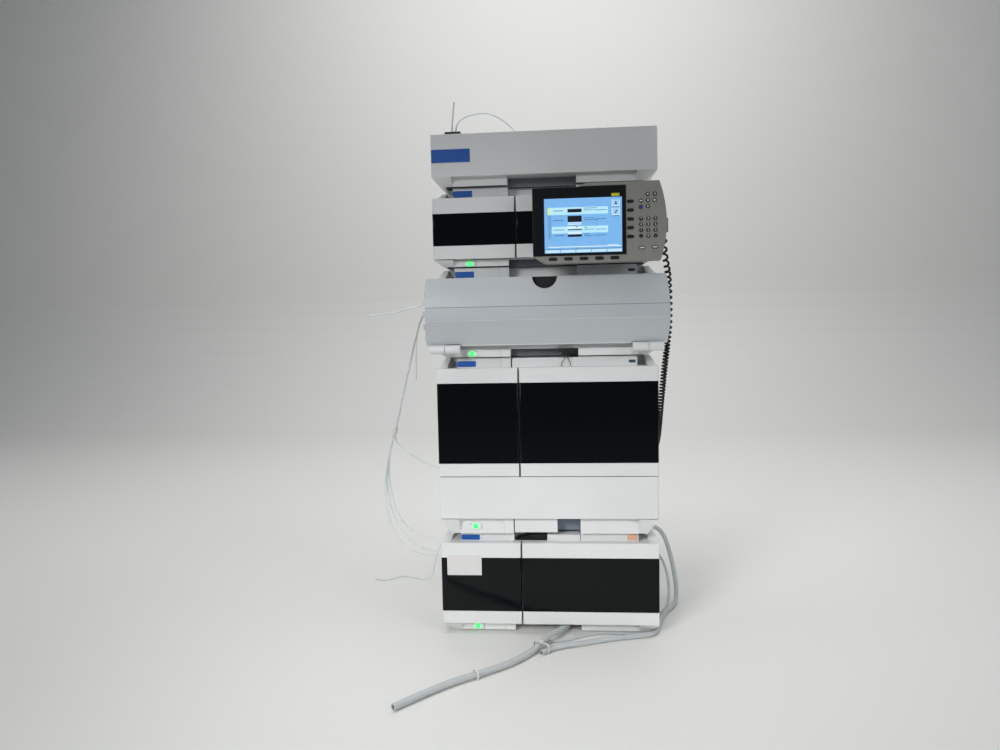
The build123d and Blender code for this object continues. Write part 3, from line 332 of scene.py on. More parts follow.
def plate(name, x0, x1, z0, z1, y, thick, corner, material, soften=0.25):
    """Rounded rectangle in X and Z, carried forward from y by its thickness, its front rim drawn in."""
    steps = 8
    turn = np.linspace(0, np.pi / 2, steps)
    cx, cz = (x0 + x1) / 2, (z0 + z1) / 2
    hx, hz = (x1 - x0) / 2 - corner, (z1 - z0) / 2 - corner
    outline = []
    for k, (sx, sz) in enumerate(((1, 1), (-1, 1), (-1, -1), (1, -1))):
        a = turn + k * np.pi / 2
        outline.append(np.stack([sx * hx + corner * np.cos(a), sz * hz + corner * np.sin(a)], axis=-1))
    ring = np.concatenate(outline)
    inset = thick * soften
    levels = [(0.0, 0.0), (thick - inset, 0.0), (thick, inset)]
    grid = np.zeros((len(ring), len(levels), 3))
    size = np.maximum(np.abs(ring).max(axis=0), 1e-6)
    for j, (forward, draw) in enumerate(levels):
        grid[:, j, 0] = cx + ring[:, 0] * (1 - draw / size[0])
        grid[:, j, 1] = y - forward
        grid[:, j, 2] = cz + ring[:, 1] * (1 - draw / size[1])
    return surface(name, grid, material)


def dress_curved(name, material):
    """Gives a CAD node with curved faces its finish: smooth along the curves, crisp at the corners."""
    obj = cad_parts[name]
    obj.data.materials.clear()
    obj.data.materials.append(material)
    obj.data.polygons.foreach_set("use_smooth", [True] * len(obj.data.polygons))
    join = obj.modifiers.new("weld", "WELD")
    join.merge_threshold = 1e-6
    crisp = obj.modifiers.new("crisp", "EDGE_SPLIT")
    crisp.split_angle = math.radians(25)


def dress(names, material, edge=None):
    """Gives CAD nodes their finish and rounds their moulded edges."""
    for name in names:
        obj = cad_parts[name]
        obj.data.materials.clear()
        obj.data.materials.append(material)
        if edge is None:
            continue
        join = obj.modifiers.new("weld", "WELD")
        join.merge_threshold = 1e-6
        flat = obj.modifiers.new("flat", "DECIMATE")
        flat.decimate_type = "DISSOLVE"
        flat.angle_limit = math.radians(1)
        soft = obj.modifiers.new("edge", "BEVEL")
        soft.width = edge
        soft.segments = 2
        soft.limit_method = "ANGLE"
        soft.angle_limit = math.radians(35)
        soft.harden_normals = True


def route_curve(name, route, order=3):
    """NURBS curve whose control points are the route's, from (x, depth, z) in millimetres."""
    data = bpy.data.curves.new(name, "CURVE")
    data.dimensions = "3D"
    data.resolution_u = 12
    data.render_resolution_u = 12
    data.use_fill_caps = True
    line = data.splines.new("NURBS")
    line.points.add(len(route) - 1)
    for point, (x, depth, z) in zip(line.points, route):
        point.co = (x * MM, Y0 + depth * MM, z * MM, 1.0)
    line.order_u = order
    line.use_endpoint_u = True
    obj = bpy.data.objects.new(name, data)
    bpy.context.scene.collection.objects.link(obj)
    return obj


def sampled(route):
    """Points along the route's own NURBS line, evenly spaced, as an array."""
    probe = route_curve("probe", route)
    probe.data.resolution_u = 24
    probe.data.render_resolution_u = 24
    bpy.context.view_layer.update()
    shape = bpy.data.meshes.new_from_object(probe)
    line = np.zeros(len(shape.vertices) * 3)
    shape.vertices.foreach_get("co", line)
    line = line.reshape(-1, 3)
    bpy.data.objects.remove(probe)
    bpy.data.meshes.remove(shape)
    step = np.linalg.norm(np.diff(line, axis=0), axis=1)
    along = np.concatenate([[0], np.cumsum(step)])
    return line, along


def run_tube(name, node, route, diameter, material):
    """Free line or hose along its route, standing for its CAD node."""
    obj = route_curve(name, route)
    obj.data.bevel_depth = diameter / 2
    obj.data.bevel_resolution = 3
    obj.data.materials.append(material)
    _, along = sampled(route)
    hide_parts(node)
    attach(obj, ROOT)
    return obj


def open_end(name, route, diameter, material):
    """Painted shade of the bore at a hose's cut end: a thin dark disc just proud of the end face."""
    tip = np.array(route[-1], dtype=float)
    along = tip - np.array(route[-2], dtype=float)
    along /= np.linalg.norm(along)
    side = np.cross(along, (0.0, 0.0, 1.0))
    side /= np.linalg.norm(side)
    above = np.cross(side, along)
    turn = np.linspace(0, 2 * np.pi, 24, endpoint=False)
    radii = ((0.66, 0.0), (0.66, 0.12), (0.5, 0.15))
    grid = np.zeros((len(turn), len(radii), 3))
    for j, (share, out) in enumerate(radii):
        radius = diameter / MM / 2 * share
        ring = tip + along * out + radius * (np.cos(turn)[:, None] * side + np.sin(turn)[:, None] * above)
        grid[:, j] = ring * MM + np.array((0.0, Y0, 0.0))
    obj = surface(name, grid, material)
    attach(obj, ROOT)
    return obj


# ---------------------------------------------------------------- routes, in millimetres: x, depth, z
BUNDLE_TOP = [(-198, 604), (-214, 604), (-231, 586), (-244, 543), (-255.5, 498), (-267, 452), (-279, 405),
              (-292, 357), (-302, 318)]
BUNDLE_ENDS = [
    [(-309, 274), (-307, 226), (-295, 182), (-270, 149), (-234, 133), (-198, 133)],
    [(-306, 277), (-302, 234), (-289, 196), (-265, 163), (-232, 141), (-198, 141)],
    [(-302, 280), (-297, 240), (-284, 205), (-262, 180), (-231, 164), (-198, 164)],
]
BUNDLE_DEPTHS = (40, 44.5, 49)
SHORT_LINES = {
    "sampler_line": ("object", [
        (-198, 53.5, 301), (-214, 53.5, 301), (-237, 53.5, 312), (-260, 53.5, 326), (-281, 53.5, 341),
        (-291, 53.5, 360), (-283.5, 53.5, 389), (-276.5, 53.5, 413)]),
    "loose_line": ("bare", [
        (-198, 84, 612), (-218, 84, 612), (-246, 84, 606.5), (-278, 85, 598), (-311, 85, 593),
        (-341, 85, 590.5)]),
    "hanging_line": ("bare", [
        (-198, 96, 604), (-215, 96, 604), (-237, 96, 592), (-250, 96, 563), (-253, 96, 512),
        (-254.5, 96, 463)]),
    "floor_line": ("bare", [
        (-198, 250, 110), (-214, 250, 110), (-236, 256, 97), (-253, 264, 66), (-260, 271, 33),
        (-266, 279, 10),
        (-281, 283, 1.6), (-298, 283, 1.6), (-318, 296, 1.6), (-341, 302, 1.6), (-361, 280, 1.6),
        (-381, 269, 1.6), (-398, 282, 1.6)]),
}
TRAY_LINE = [
    (-156, 17, 965), (-158.5, 14.5, 940), (-160.5, 12.5, 914), (-161, 12, 889), (-168, 18, 866),
    (-173, 36, 849), (-162, 54, 842), (-146, 52, 843), (-140, 34, 851), (-147, 17, 870), (-154, 12, 892),
    (-154.5, 12, 914), (-149, 14, 930), (-134, 19, 940), (-115, 26, 946), (-96, 36, 948), (-78, 46, 942),
    (-60, 56, 930), (-44, 66, 912), (-30, 78, 889), (-18, 94, 864), (-4, 116, 845), (16, 142, 839.2),
    (40, 160, 838.6)]
HOSE_A = [
    (198, 230, 140), (216, 230, 140), (235, 219, 128), (246, 198, 90), (254, 177, 40), (252, 157, 6.5),
    (240, 134, 4.6), (222.5, 105, 4.6), (208, 66, 4.6), (198.5, 27, 4.6), (188.5, 1.5, 4.6), (163, -8.5, 4.6),
    (131, -15.5, 4.6), (92, -29, 4.6), (50, -46, 4.8), (19, -59, 5.9), (-1, -70, 5.9), (-14, -85, 5.9)]
HOSE_B = [
    (33, 40, 10), (33, 22, 10), (25, 4, 11.8), (9, -20, 14.2), (-9, -48, 14.2), (-27, -80, 7.4),
    (-58, -122, 7.0), (-100, -158, 7.0), (-146, -190, 7.0), (-190, -232, 7.0), (-229, -275, 7.0)]
HOSE_THIN = [
    (198, 190, 100), (213, 190, 100), (229, 180, 82), (238, 165, 46), (236, 150, 12), (228, 132, 3.4),
    (212, 101, 2.8), (198, 65, 2.8), (190, 30, 2.8), (182, 8.5, 2.8), (165, 2, 2.8), (142, 5, 2.8),
    (114, 7.5, 2.8), (88, 6, 2.8), (66, -3, 2.8), (46, -17, 2.8), (26, -28, 2.8), (2, -33, 2.8),
    (-22, -35, 2.8)]
CORD = [
    (206, -14.5, 721.5), (206, -14.5, 700), (209, -6, 680), (215, 10, 661), (219.5, 26, 645),
    (221.5, 33, 620),
    (222, 32, 586), (220.5, 31, 553), (216.5, 30, 520), (212.5, 31, 486), (209.5, 35, 452), (207, 42, 418),
    (206, 54, 386), (205.5, 74, 352), (205.5, 110, 328), (206, 158, 314), (207, 222, 307), (208, 295, 306),
    (209, 360, 311), (216, 410, 317), (219, 456, 322), (199, 485.5, 327), (163, 492, 330),
    (127, 492, 330)]


# ---------------------------------------------------------------- pieces
class HPLC_OT_housings(Operator):
    """White housings, fixed panels and tray"""
    bl_idname = "hplc.housings"
    bl_label = "Housings"

    def execute(self, context):
        white = moulded_abs("moulded_white_abs", colours().white)
        # The deep recesses and the seams under the strips are painted darker, for the shade they lie in.
        left, right = RECESS_X
        deep = Y0 + 0.0505
        repaint(white, "#7F8387", [[("X", left, right), ("Z", z0, z1), ("Y", Y0 + 0.030, deep)]
                                   for z0, z1 in SHADED_RECESSES])
        repaint(white, "#8791A0", [[("X", 0.0155, right), ("Z", 0.1835, 0.2160), ("Y", Y0 + 0.012, deep)]])
        repaint(white, "#17191B", [[("X", -0.1745, 0.1745), ("Z", z - 0.0001, z + 0.0017),
                                    ("Y", Y0, Y0 + 0.045)] for z in STRIP_SEAMS])
        dress(["pump_base", "pump_cover", "sampler_base", "sampler_cover", "sampler_front_panel",
               "column_base",
               "column_cover", "detector_base", "detector_cover", "solvent_tray", "column_hinges"],
              white, sizes().edge)
        return {"FINISHED"}


class HPLC_OT_doors(Operator):
    """Hinged doors with their smoked panes and pins"""
    bl_idname = "hplc.doors"
    bl_label = "Doors"

    def execute(self, context):
        # The door sides in the seam between the left and right door are painted near black between their
        # rounded corners: painted shade for the gap.
        white = repaint(moulded_abs("moulded_white_door_abs", colours().white), "#0B0C0D",
                        [[("X", SEAM - 0.0013, SEAM + 0.0013), ("Y", Y0 + 0.0012, 0)]])
        smoke = smoked_acrylic("smoked_acrylic", colours().smoke)
        for module in ("pump", "sampler", "detector"):
            for side in ("left", "right"):
                dress([f"{module}_{side}_door"], white, sizes().edge * 0.6)
                dress([f"{module}_{side}_window"], smoke, sizes().edge * 0.3)
        dress(["hinge_pins"], machined_steel("turned_steel"), None)
        return {"FINISHED"}


class HPLC_OT_column_door(Operator):
    """Bowed door of the column compartment"""
    bl_idname = "hplc.column_door"
    bl_label = "Column door"

    def execute(self, context):
        grey = moulded_abs("moulded_grey_abs", colours().grey, roughness=0.36, tone=0.02)
        repaint(grey, "#E4E6E5", [[("Z", 0.5, 0.5336), ("Y", -1, Y0 + 0.0005)]])
        # The upper crease is a painted dark line of shade, and the lower crease a painted pale line of
        # highlight.
        repaint(grey, "#7D8286", [[("Z", 0.6, 0.601), ("Y", -1, Y0)]])
        repaint(grey, "#D3D8DB", [[("Z", 0.5762, 0.5772), ("Y", -1, Y0)]])
        # The vent slots' sides and the finger cup are painted near black, as painted shade in these hollows.
        repaint(grey, "#101214", [[("X", -0.217, -0.2122), ("Z", 0.545, 0.627), ("Y", Y0 - 0.001, Y0 + 0.02)],
                                  [("cup", -1, CUP_RADIUS)]])
        dress_curved("column_door", grey)
        # Thin dark plates just behind the vent slots are painted shade for the dark inside the door.
        dark = satin("vent_painted_shade", linear("#0C0D0E"), 0.6, strength=0.3)
        for i in range(VENTS):
            z = VENT_Z + VENT_PITCH * i
            piece = plate(f"vent_{i}", -215.4 * MM, -212.2 * MM, (z - 5.4) * MM, (z + 5.4) * MM,
                          Y0 + 1.6 * MM,
                          0.0004, 0.0006, dark)
            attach(piece, "column_door")
        return {"FINISHED"}


class HPLC_OT_lamps(Operator):
    """Power buttons that glow, and the status lenses"""
    bl_idname = "hplc.lamps"
    bl_label = "Lamps"

    def execute(self, context):
        glow = light_pipe("frosted_light_pipe", colours().lamp)
        dress([f"{m}_power_button" for m in ("pump", "sampler", "column", "detector")], glow, 0.0006)
        lens = satin("dark_lens", linear("#39505E"), 0.3, strength=0.02, coat=0.5)
        for name, z in (("pump", 175.5), ("sampler", 499.0), ("column", 661.5), ("detector", 804.0)):
            piece = plate(f"{name}_status_lens", 148 * MM, 160 * MM, (z - 2.6) * MM, (z + 2.6) * MM,
                          Y0 + 21 * MM, 0.0006, 0.0012, lens)
            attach(piece, ROOT)
        return {"FINISHED"}


class HPLC_OT_plates(Operator):
    """Blank name plates and stickers"""
    bl_idname = "hplc.plates"
    bl_label = "Plates and stickers"

    def execute(self, context):
        blue = satin("printed_blue_film", colours().plate, 0.5, strength=0.03)
        paper = satin("white_paper_label", linear("#DEDCDB"), 0.6, strength=0.05)
        orange = satin("orange_paper_label", linear("#EBB795"), 0.6, strength=0.05)
        thick = sizes().plate
        for name, x0, x1, z0, z1, depth in (
                ("tray", -197, -128, 856, 879, 0), ("detector", -162.5, -128, 797.9, 809.5, 21),
                ("column", -162.5, -128, 654.6, 665.5, 21), ("sampler", -162.5, -128, 492.8, 503.2, 21),
                ("pump", -162.5, -128, 171.2, 180.6, 21)):
            piece = plate(f"{name}_name_plate", x0 * MM, x1 * MM, z0 * MM, z1 * MM, Y0 + depth * MM, thick,
                          0.0008, blue)
            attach(piece, ROOT)
        piece = plate("orange_sticker", 143 * MM, 161 * MM, 171.5 * MM, 181.5 * MM, Y0 + 20.4 * MM, 0.0002,
                      0.0005, orange)
        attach(piece, ROOT)
        piece = plate("white_sticker", -187 * MM, -123.5 * MM, 111 * MM, 148.5 * MM, Y0, 0.0002, 0.001, paper)
        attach(piece, "pump_left_door")
        return {"FINISHED"}


class HPLC_OT_controller(Operator):
    """Handheld controller with its lit display and keys"""
    bl_idname = "hplc.controller"
    bl_label = "Controller"

    def execute(self, context):
        shell = moulded_abs("moulded_warm_grey_abs", colours().controller, roughness=0.45, tone=0.02)
        dress(["controller_shell"], shell, 0.0012)
        dress(["controller_bezel"], satin("gloss_black_bezel", colours().bezel, 0.16, strength=0.02,
                                          coat=0.4),
              0.0006)
        dress(["controller_screen"], lit_display("lit_display", colours().screen), None)
        dress(["controller_keypad"], satin("black_silicone", linear("#0B0C0E"), 0.45), 0.0005)
        face = Y0 - SCREEN_FACE * MM
        # Each box is x0, x1, z0, z1 in millimetres.
        content = {
            "row": ("#B4E4F8", [(8, 108.7, 751.5, 763.5), (14.4, 108.7, 720.5, 731.7)]),
            "track": ("#6A9FD2", [(8, 13.5, 711.5, 751)]),
            "yellow": ("#D8E03C", [(7.6, 12.8, 752, 762.8)]),
            "stripe": ("#E6F4FC", [(41.2, 64.8, 734.6, 735.8), (41.2, 64.8, 737, 738),
                                   (41.2, 64.8, 728.6, 731),
                                   (41.2, 64.8, 719.2, 721.5), (8, 130, 697, 698.2),
                                   (107.3, 125, 699, 699.8)]),
            "image": ("#0B1118", [(41.2, 64.8, 754.9, 760.7), (41.2, 64.8, 739, 749.2),
                                  (41.2, 65.5, 725.3, 727),
                                  (41.2, 64.8, 714.2, 718), (54.6, 58.6, 729.8, 731.4)]),
            "dark": ("#2B5D7C", [(69, 90, 761, 761.9), (69, 84, 757.9, 758.8), (86, 107, 757.4, 758.3),
                                 (69, 86, 744.6, 745.5), (69, 92, 741.4, 742.3), (88, 106, 742.6, 743.4),
                                 (69, 74, 729, 729.9), (69, 86, 725.8, 726.7), (88, 106, 725.4, 726.3),
                                 (69, 78, 717.8, 718.7), (69, 84, 714.9, 715.8), (86, 106, 715.6, 716.5),
                                 (17, 34.5, 757.6, 758.7), (17, 34.5, 741.6, 742.6), (17, 35.5, 725.7, 726.7),
                                 (17, 35.5, 716.2, 717.3), (115.5, 127.6, 761.6, 762.5),
                                 (115.5, 127, 746.6, 747.6), (2.3, 131.7, 693.4, 694.2)]),
            "cell": ("#BFE0F6", [(x0, x1, 688.2, 692.6) for x0, x1 in
                                 ((3.4, 27.6), (29.4, 53.5), (55.3, 79.7), (81.6, 105.6), (107.4, 131.6))]),
            "key": ("#9CCBF0", [(115.2, 128.4, 763.2, 774.4), (115.2, 128.4, 748.6, 760.6)]),
            "rim": ("#E9F6FD", [(115.2, 116, 763.2, 774.4), (115.2, 128.4, 763, 763.8),
                                (127.7, 128.4, 763.2, 774.4),
                                (115.2, 116, 748.6, 760.6), (115.2, 128.4, 748.4, 749.2),
                                (127.7, 128.4, 748.6, 760.6)]),
            "glyph": ("#16283A", [(120.2, 124, 766.2, 768), (121, 123.2, 768, 771),
                                  (121.6, 124.4, 754.6, 756.6),
                                  (120.4, 123, 751.6, 753.8)]),
        }
        upper = ("image", "dark", "rim", "glyph", "stripe")
        for kind, (code, boxes) in content.items():
            shine = lit_display(f"display_{kind}", linear(code))
            for i, (x0, x1, z0, z1) in enumerate(boxes):
                lift = 0.00006 if kind in upper else 0.00003
                piece = plate(f"display_{kind}_{i}", x0 * MM, x1 * MM, z0 * MM, z1 * MM, face, lift, 0.0002,
                              shine)
                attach(piece, ROOT)
        yellow = satin("printed_yellow", linear("#DDD73A"), 0.4)
        piece = plate("bezel_mark", 114.7 * MM, 128 * MM, 779.7 * MM, 784.6 * MM, Y0 - BEZEL_FACE * MM,
                      0.0002,
                      0.0006, yellow)
        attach(piece, ROOT)
        self.key_marks()
        return {"FINISHED"}

    def key_marks(self):
        """Pale print on the keys: digits, rings and bars."""
        ink = satin("pale_print", linear("#D5DADC"), 0.5, strength=0.03)
        blue = satin("blue_print", linear("#2A45B8"), 0.5, strength=0.03)
        top = Y0 - KEY_FACE * MM
        marks = [(174.6, 781.0, 1.6, 1.2, ink), (186.6, 781.5, 1.6, 1.2, ink), (163.5, 770.7, 2.4, 1.3, ink),
                 (175.0, 770.9, 1.3, 1.7, ink), (186.0, 771.2, 2.2, 1.6, ink), (163.1, 760.2, 2.1, 2.1, blue),
                 (174.8, 761.2, 1.3, 1.5, ink), (165.3, 693.0, 4.2, 1.2, ink), (186.2, 693.5, 4.2, 1.2, ink)]
        for i, (x, z, half_w, half_h, tone) in enumerate(marks):
            piece = plate(f"key_mark_{i}", (x - half_w) * MM, (x + half_w) * MM, (z - half_h) * MM,
                          (z + half_h) * MM, top, 0.00008, min(half_w, half_h) * 0.9 * MM, tone)
            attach(piece, ROOT)
        for row, digits in enumerate((".0-", "123", "456", "789")):
            for col, digit in enumerate(digits):
                text = bpy.data.curves.new(f"key_digit_{row}_{col}", "FONT")
                text.body = digit
                text.size = 0.0052
                text.offset = 0.00012
                text.extrude = 0.00004
                text.align_x = "CENTER"
                text.align_y = "CENTER"
                text.resolution_u = 3
                probe = bpy.data.objects.new("probe", text)
                bpy.context.scene.collection.objects.link(probe)
                bpy.context.view_layer.update()
                mesh = bpy.data.meshes.new_from_object(probe)
                bpy.data.objects.remove(probe)
                # Stood up from the XY plane and set on the key's face.
                flat = np.zeros(len(mesh.vertices) * 3)
                mesh.vertices.foreach_get("co", flat)
                flat = flat.reshape(-1, 3)
                stood = np.stack([flat[:, 0] + (KEY_X + KEY_PITCH_X * col) * MM, top - 0.00004 - flat[:, 2],
                                  flat[:, 1] + (KEY_Z + KEY_PITCH_Z * row) * MM], axis=-1)
                mesh.vertices.foreach_set("co", stood.ravel())
                mesh.materials.clear()
                mesh.materials.append(ink)
                piece = bpy.data.objects.new(f"key_digit_{row}_{col}", mesh)
                bpy.context.scene.collection.objects.link(piece)
                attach(piece, ROOT)


class HPLC_OT_inside(Operator):
    """Pump heads, valves, drawer, columns and flow cell behind the doors"""
    bl_idname = "hplc.inside"
    bl_label = "Inside the compartments"

    def execute(self, context):
        steel = bpy.data.materials["turned_steel"]
        dress(["pump_heads", "injection_valve", "flow_cell", "columns"], steel, 0.0005)
        dress(["capillaries"], machined_steel("drawn_steel", "#4A4D50"), None)
        dark = satin("black_acetal", linear("#15171A"), 0.4)
        dress(["purge_valve", "sample_drawer"], dark, 0.0005)
        dress(["solvent_valve"], satin("grey_peek", linear("#8C8577"), 0.45), 0.0005)
        return {"FINISHED"}


class HPLC_OT_fittings(Operator):
    """Tubing clip, ties, funnels, feet and the rear of the stack"""
    bl_idname = "hplc.fittings"
    bl_label = "Fittings and rear"

    def execute(self, context):
        black = satin("black_nylon", linear("#101113"), 0.42)
        dress(["tubing_clip", "rear_sockets", "controller_plug"], black, 0.0004)
        dress(["cable_ties"], satin("natural_nylon", linear("#D8D9D4"), 0.4), 0.0002)
        dress(["rubber_feet"], satin("black_rubber", linear("#121212"), 0.7), 0.0006)
        dress(["rear_panels"], coated_sheet("coated_sheet", "#A9ADAE"), 0.0003)
        guides = moulded_abs("moulded_white_and_black_abs", colours().white)
        repaint(guides, "#08090A", [[("X", -0.08, -0.0032), ("Z", 0.1, 0.1845)],
                                    [("X", 0.02, 0.052), ("Z", 0.509, 0.53)]])
        dress(["leak_funnels"], guides, 0.0008)
        return {"FINISHED"}


class HPLC_OT_lines(Operator):
    """Clear lines at the left side and in the tray"""
    bl_idname = "hplc.lines"
    bl_label = "Clear lines"

    def execute(self, context):
        clear = clear_pvc("extruded_pfa", colours().clear, body=0.5, roughness=0.2)
        width = sizes().line
        for letter, ends, depth in zip("abc", BUNDLE_ENDS, BUNDLE_DEPTHS):
            route = [(x, depth, z) for x, z in BUNDLE_TOP + ends]
            run_tube(f"clear_line_{letter}", f"solvent_line_{letter}", route, width, clear)
        for node, (end, route) in SHORT_LINES.items():
            run_tube(f"{node}_tube", node, route, width, clear)
        run_tube("tray_line_tube", "tray_line", TRAY_LINE, width, clear)
        return {"FINISHED"}


class HPLC_OT_hoses(Operator):
    """Milky drain hoses on the surface in front"""
    bl_idname = "hplc.hoses"
    bl_label = "Drain hoses"

    def execute(self, context):
        milky = clear_pvc("extruded_soft_pvc", colours().hose, body=0.4, roughness=0.45, coat=0.0)
        # The bore's grey disc is painted shade inside each hose's cut end.
        bore = satin("bore_painted_shade", linear("#5E6163"), 0.3, strength=0.05)
        for name, node, route, width in (
                ("side", "drain_hose_a", HOSE_A, sizes().hose_a), ("middle", "drain_hose_b", HOSE_B,
                                                                   sizes().hose_b),
                ("thin", "drain_hose_thin", HOSE_THIN, sizes().hose_thin)):
            end = open_end(f"{name}_hose_bore", route, width, bore)
            run_tube(f"{name}_drain_hose", node, route, width, milky)
        return {"FINISHED"}


class HPLC_OT_coiled_cord(Operator):
    """Coiled cord of the controller"""
    bl_idname = "hplc.coiled_cord"
    bl_label = "Coiled cord"

    def execute(self, context):
        s = sizes()
        line, along = sampled(CORD)
        total = along[-1]
        # The upper part is stretched by its own weight, so its turns stand further apart.
        fine = np.linspace(0, total, 2000)
        height = np.interp(fine, along, line[:, 2])
        pitch = np.interp(height, (0.52, 0.57, 0.64, 0.69), (s.coil_close, s.coil_pitch, s.coil_pitch,
                                                             s.coil_top))
        wound = np.concatenate([[0], np.cumsum(np.diff(fine) / pitch[1:])])
        per_turn = 12
        t = np.interp(np.linspace(0, wound[-1], int(wound[-1]) * per_turn + 1), wound, fine)
        base = np.stack([np.interp(t, along, line[:, k]) for k in range(3)], axis=-1)
        # Each point stands off the route by the coil's radius, turned a twelfth of a turn on from the last.
        # The two directions across the route are carried along it without twisting.
        tangent = np.gradient(base, axis=0)
        tangent /= np.linalg.norm(tangent, axis=1)[:, None]
        side = np.zeros_like(base)
        side[0] = np.cross(tangent[0], (0.0, 1.0, 0.0))
        for i in range(1, len(base)):
            side[i] = side[i - 1] - tangent[i] * np.dot(side[i - 1], tangent[i])
            side[i] /= np.linalg.norm(side[i])
        other = np.cross(tangent, side)
        radius = (s.coil_width - s.coil_wire) / 2
        ramp = np.clip(np.minimum(t, total - t) / 0.012, 0, 1)
        angle = 2 * np.pi * np.arange(len(t)) / per_turn
        coil = base + (radius * ramp)[:, None] * (np.cos(angle)[:, None] * side + np.sin(angle)[:,
                                                                                                None] * other)
        data = bpy.data.curves.new("coiled_cord", "CURVE")
        data.dimensions = "3D"
        data.resolution_u = 1
        data.render_resolution_u = 1
        data.bevel_depth = s.coil_wire / 2
        data.bevel_resolution = 1
        data.use_fill_caps = True
        spline = data.splines.new("NURBS")
        spline.points.add(len(coil) - 1)
        spline.points.foreach_set("co", np.concatenate([coil, np.ones((len(coil), 1))], axis=1).ravel())
        spline.order_u = 3
        spline.use_endpoint_u = True
        data.materials.append(satin("black_pvc_sheath", colours().cord, 0.4, strength=0.05))
        obj = bpy.data.objects.new("coiled_cord", data)
        bpy.context.scene.collection.objects.link(obj)
        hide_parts("controller_cord")
        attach(obj, ROOT)
        return {"FINISHED"}


class HPLC_OT_stage(Operator):
    """Floor, backdrop, light and camera"""
    bl_idname = "hplc.stage"
    bl_label = "Stage"

    def execute(self, context):
        # Floor that curves up into a backdrop: a profile of depth and height carried along X.
        u = np.linspace(0, np.pi / 2, 16)
        depth = np.concatenate([[-14.0, 2.2], 2.2 + 0.8 * np.sin(u), [3.0]])
        height = np.concatenate([[0.0, 0.0], 0.8 - 0.8 * np.cos(u), [5.0]])
        x = np.linspace(-14, 14, 2)
        grid = np.zeros((len(x), len(depth), 3))
        grid[:, :, 0] = x[:, None]
        grid[:, :, 1] = depth
        grid[:, :, 2] = height
        mat, tree, place = fresh("pale_floor")
        tone = add(tree, "ShaderNodeTexNoise", inputs={"Vector": (place, "Object"), "Scale": 3.0})
        level = add(tree, "ShaderNodeMapRange", inputs={"Value": (tone, "Fac"), "To Min": 0.55,
                                                        "To Max": 0.65})
        skin = add(tree, "ShaderNodeBsdfPrincipled", inputs={"Base Color": (*linear("#E4E4E0"), 1),
                                                             "Roughness": (level, "Result")})
        finish_tree(tree, skin)
        floor = surface("floor", grid, mat, close_u=False)
        world = bpy.data.worlds.new("studio")
        world.use_nodes = True
        world.node_tree.nodes["Background"].inputs["Color"].default_value = (*linear("#D3DBE8"), 1)
        world.node_tree.nodes["Background"].inputs["Strength"].default_value = 0.17
        context.scene.world = world
        # The key light is aimed low, so the lower modules are the brightest; the others keep the rest pale.
        for name, place_at, aim, size, power, spread in (
                ("key", (-0.95, -1.9, 1.15), (0.03, Y0, 0.13), 0.7, 1.95, 44),
                ("side", (1.7, -1.7, 0.9), (0, Y0, 0.12), 0.9, 0.95, 44),
                ("top", (-0.2, 0.0, 3.0), (0, 0.1, 0.5), 2.0, 7, 150),
                ("far", (0, 0.6, 3.2), (0, 2.6, 0.3), 3.0, 78, 170)):
            data = bpy.data.lights.new(name, "AREA")
            data.shape = "SQUARE"
            data.size = size
            data.energy = power
            data.spread = math.radians(spread)
            lamp_obj = bpy.data.objects.new(name, data)
            context.scene.collection.objects.link(lamp_obj)
            lamp_obj.location = place_at
            away = np.array(place_at, dtype=float) - np.array(aim, dtype=float)
            lamp_obj.rotation_euler = (math.atan2(math.hypot(away[0], away[1]), away[2]), 0,
                                       math.atan2(away[0], -away[1]))
        place_camera(context)
        context.scene.view_settings.view_transform = "Standard"
        return {"FINISHED"}


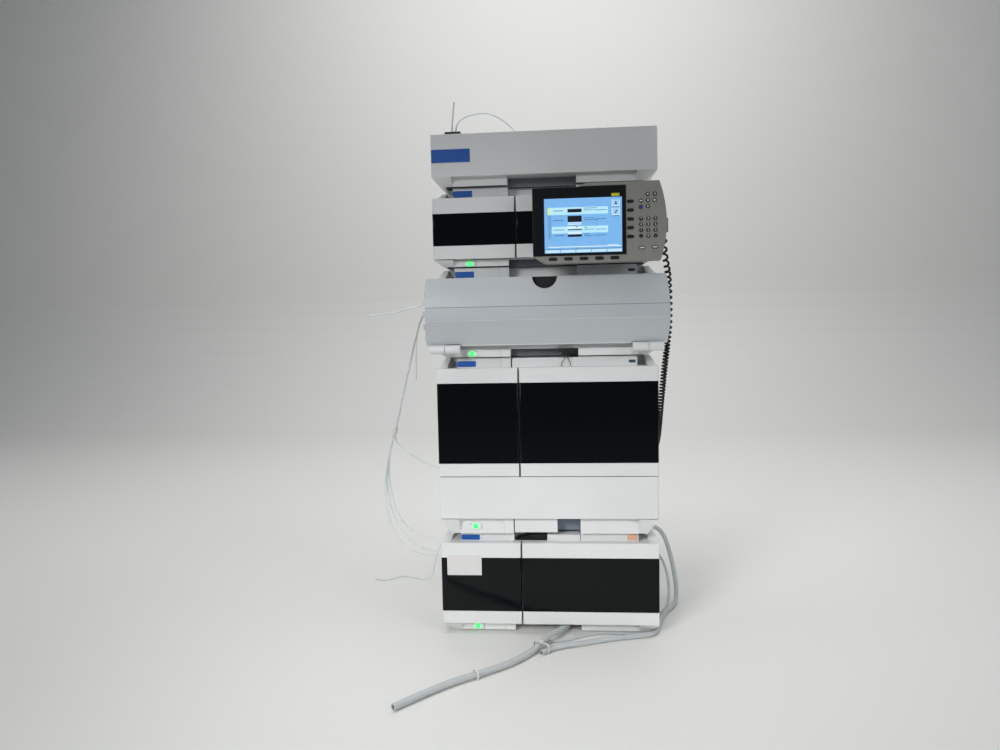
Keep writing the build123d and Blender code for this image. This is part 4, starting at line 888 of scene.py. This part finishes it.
def place_camera(context):
    """Camera from its turn, pitch and roll: its axes are the columns of its rotation."""
    turn, pitch, roll = (math.radians(a) for a in (-4.73, -4.08, -1.17))
    forward = np.array([math.sin(turn) * math.cos(pitch), math.cos(turn) * math.cos(pitch), math.sin(pitch)])
    right = np.array([math.cos(turn), -math.sin(turn), 0.0])
    up = np.cross(right, forward)
    across = right * math.cos(roll) + up * math.sin(roll)
    above = up * math.cos(roll) - right * math.sin(roll)
    data = bpy.data.cameras.new("camera")
    data.lens = 26.36
    data.sensor_width = 36.0
    data.clip_start = 0.05
    cam = bpy.data.objects.new("camera", data)
    context.scene.collection.objects.link(cam)
    matrix = np.eye(4)
    matrix[:3, 0] = across
    matrix[:3, 1] = above
    matrix[:3, 2] = -forward
    matrix[:3, 3] = (0.0254, Y0 - 1.3056, 0.5721)
    cam.matrix_world = Matrix(matrix.tolist())
    context.scene.camera = cam


OPERATORS = (HPLC_OT_coiled_cord, HPLC_OT_lines, HPLC_OT_hoses, HPLC_OT_housings, HPLC_OT_doors,
             HPLC_OT_column_door, HPLC_OT_lamps, HPLC_OT_plates, HPLC_OT_controller, HPLC_OT_inside,
             HPLC_OT_fittings, HPLC_OT_stage)


class HPLC_PT_panel(Panel):
    """Lists the pieces in the sidebar"""
    bl_label = "Chromatography Stack"
    bl_idname = "HPLC_PT_panel"
    bl_space_type = "VIEW_3D"
    bl_region_type = "UI"
    bl_category = "Chromatography"

    def draw(self, context):
        for group in (context.scene.hplc_sizes, context.scene.hplc_colours):
            for key in group.bl_rna.properties.keys():
                if key not in ("rna_type", "name"):
                    self.layout.prop(group, key)
        for op in OPERATORS:
            self.layout.operator(op.bl_idname)


CLASSES = (HPLC_PG_sizes, HPLC_PG_colours, *OPERATORS, HPLC_PT_panel)


def register():
    for cls in CLASSES:
        bpy.utils.register_class(cls)
    bpy.types.Scene.hplc_sizes = PointerProperty(type=HPLC_PG_sizes)
    bpy.types.Scene.hplc_colours = PointerProperty(type=HPLC_PG_colours)


def unregister():
    del bpy.types.Scene.hplc_colours
    del bpy.types.Scene.hplc_sizes
    for cls in reversed(CLASSES):
        bpy.utils.unregister_class(cls)


def main():
    register()
    for op in OPERATORS:
        group, name = op.bl_idname.split(".")
        getattr(getattr(bpy.ops, group), name)()


if __name__ == "__main__":
    main()
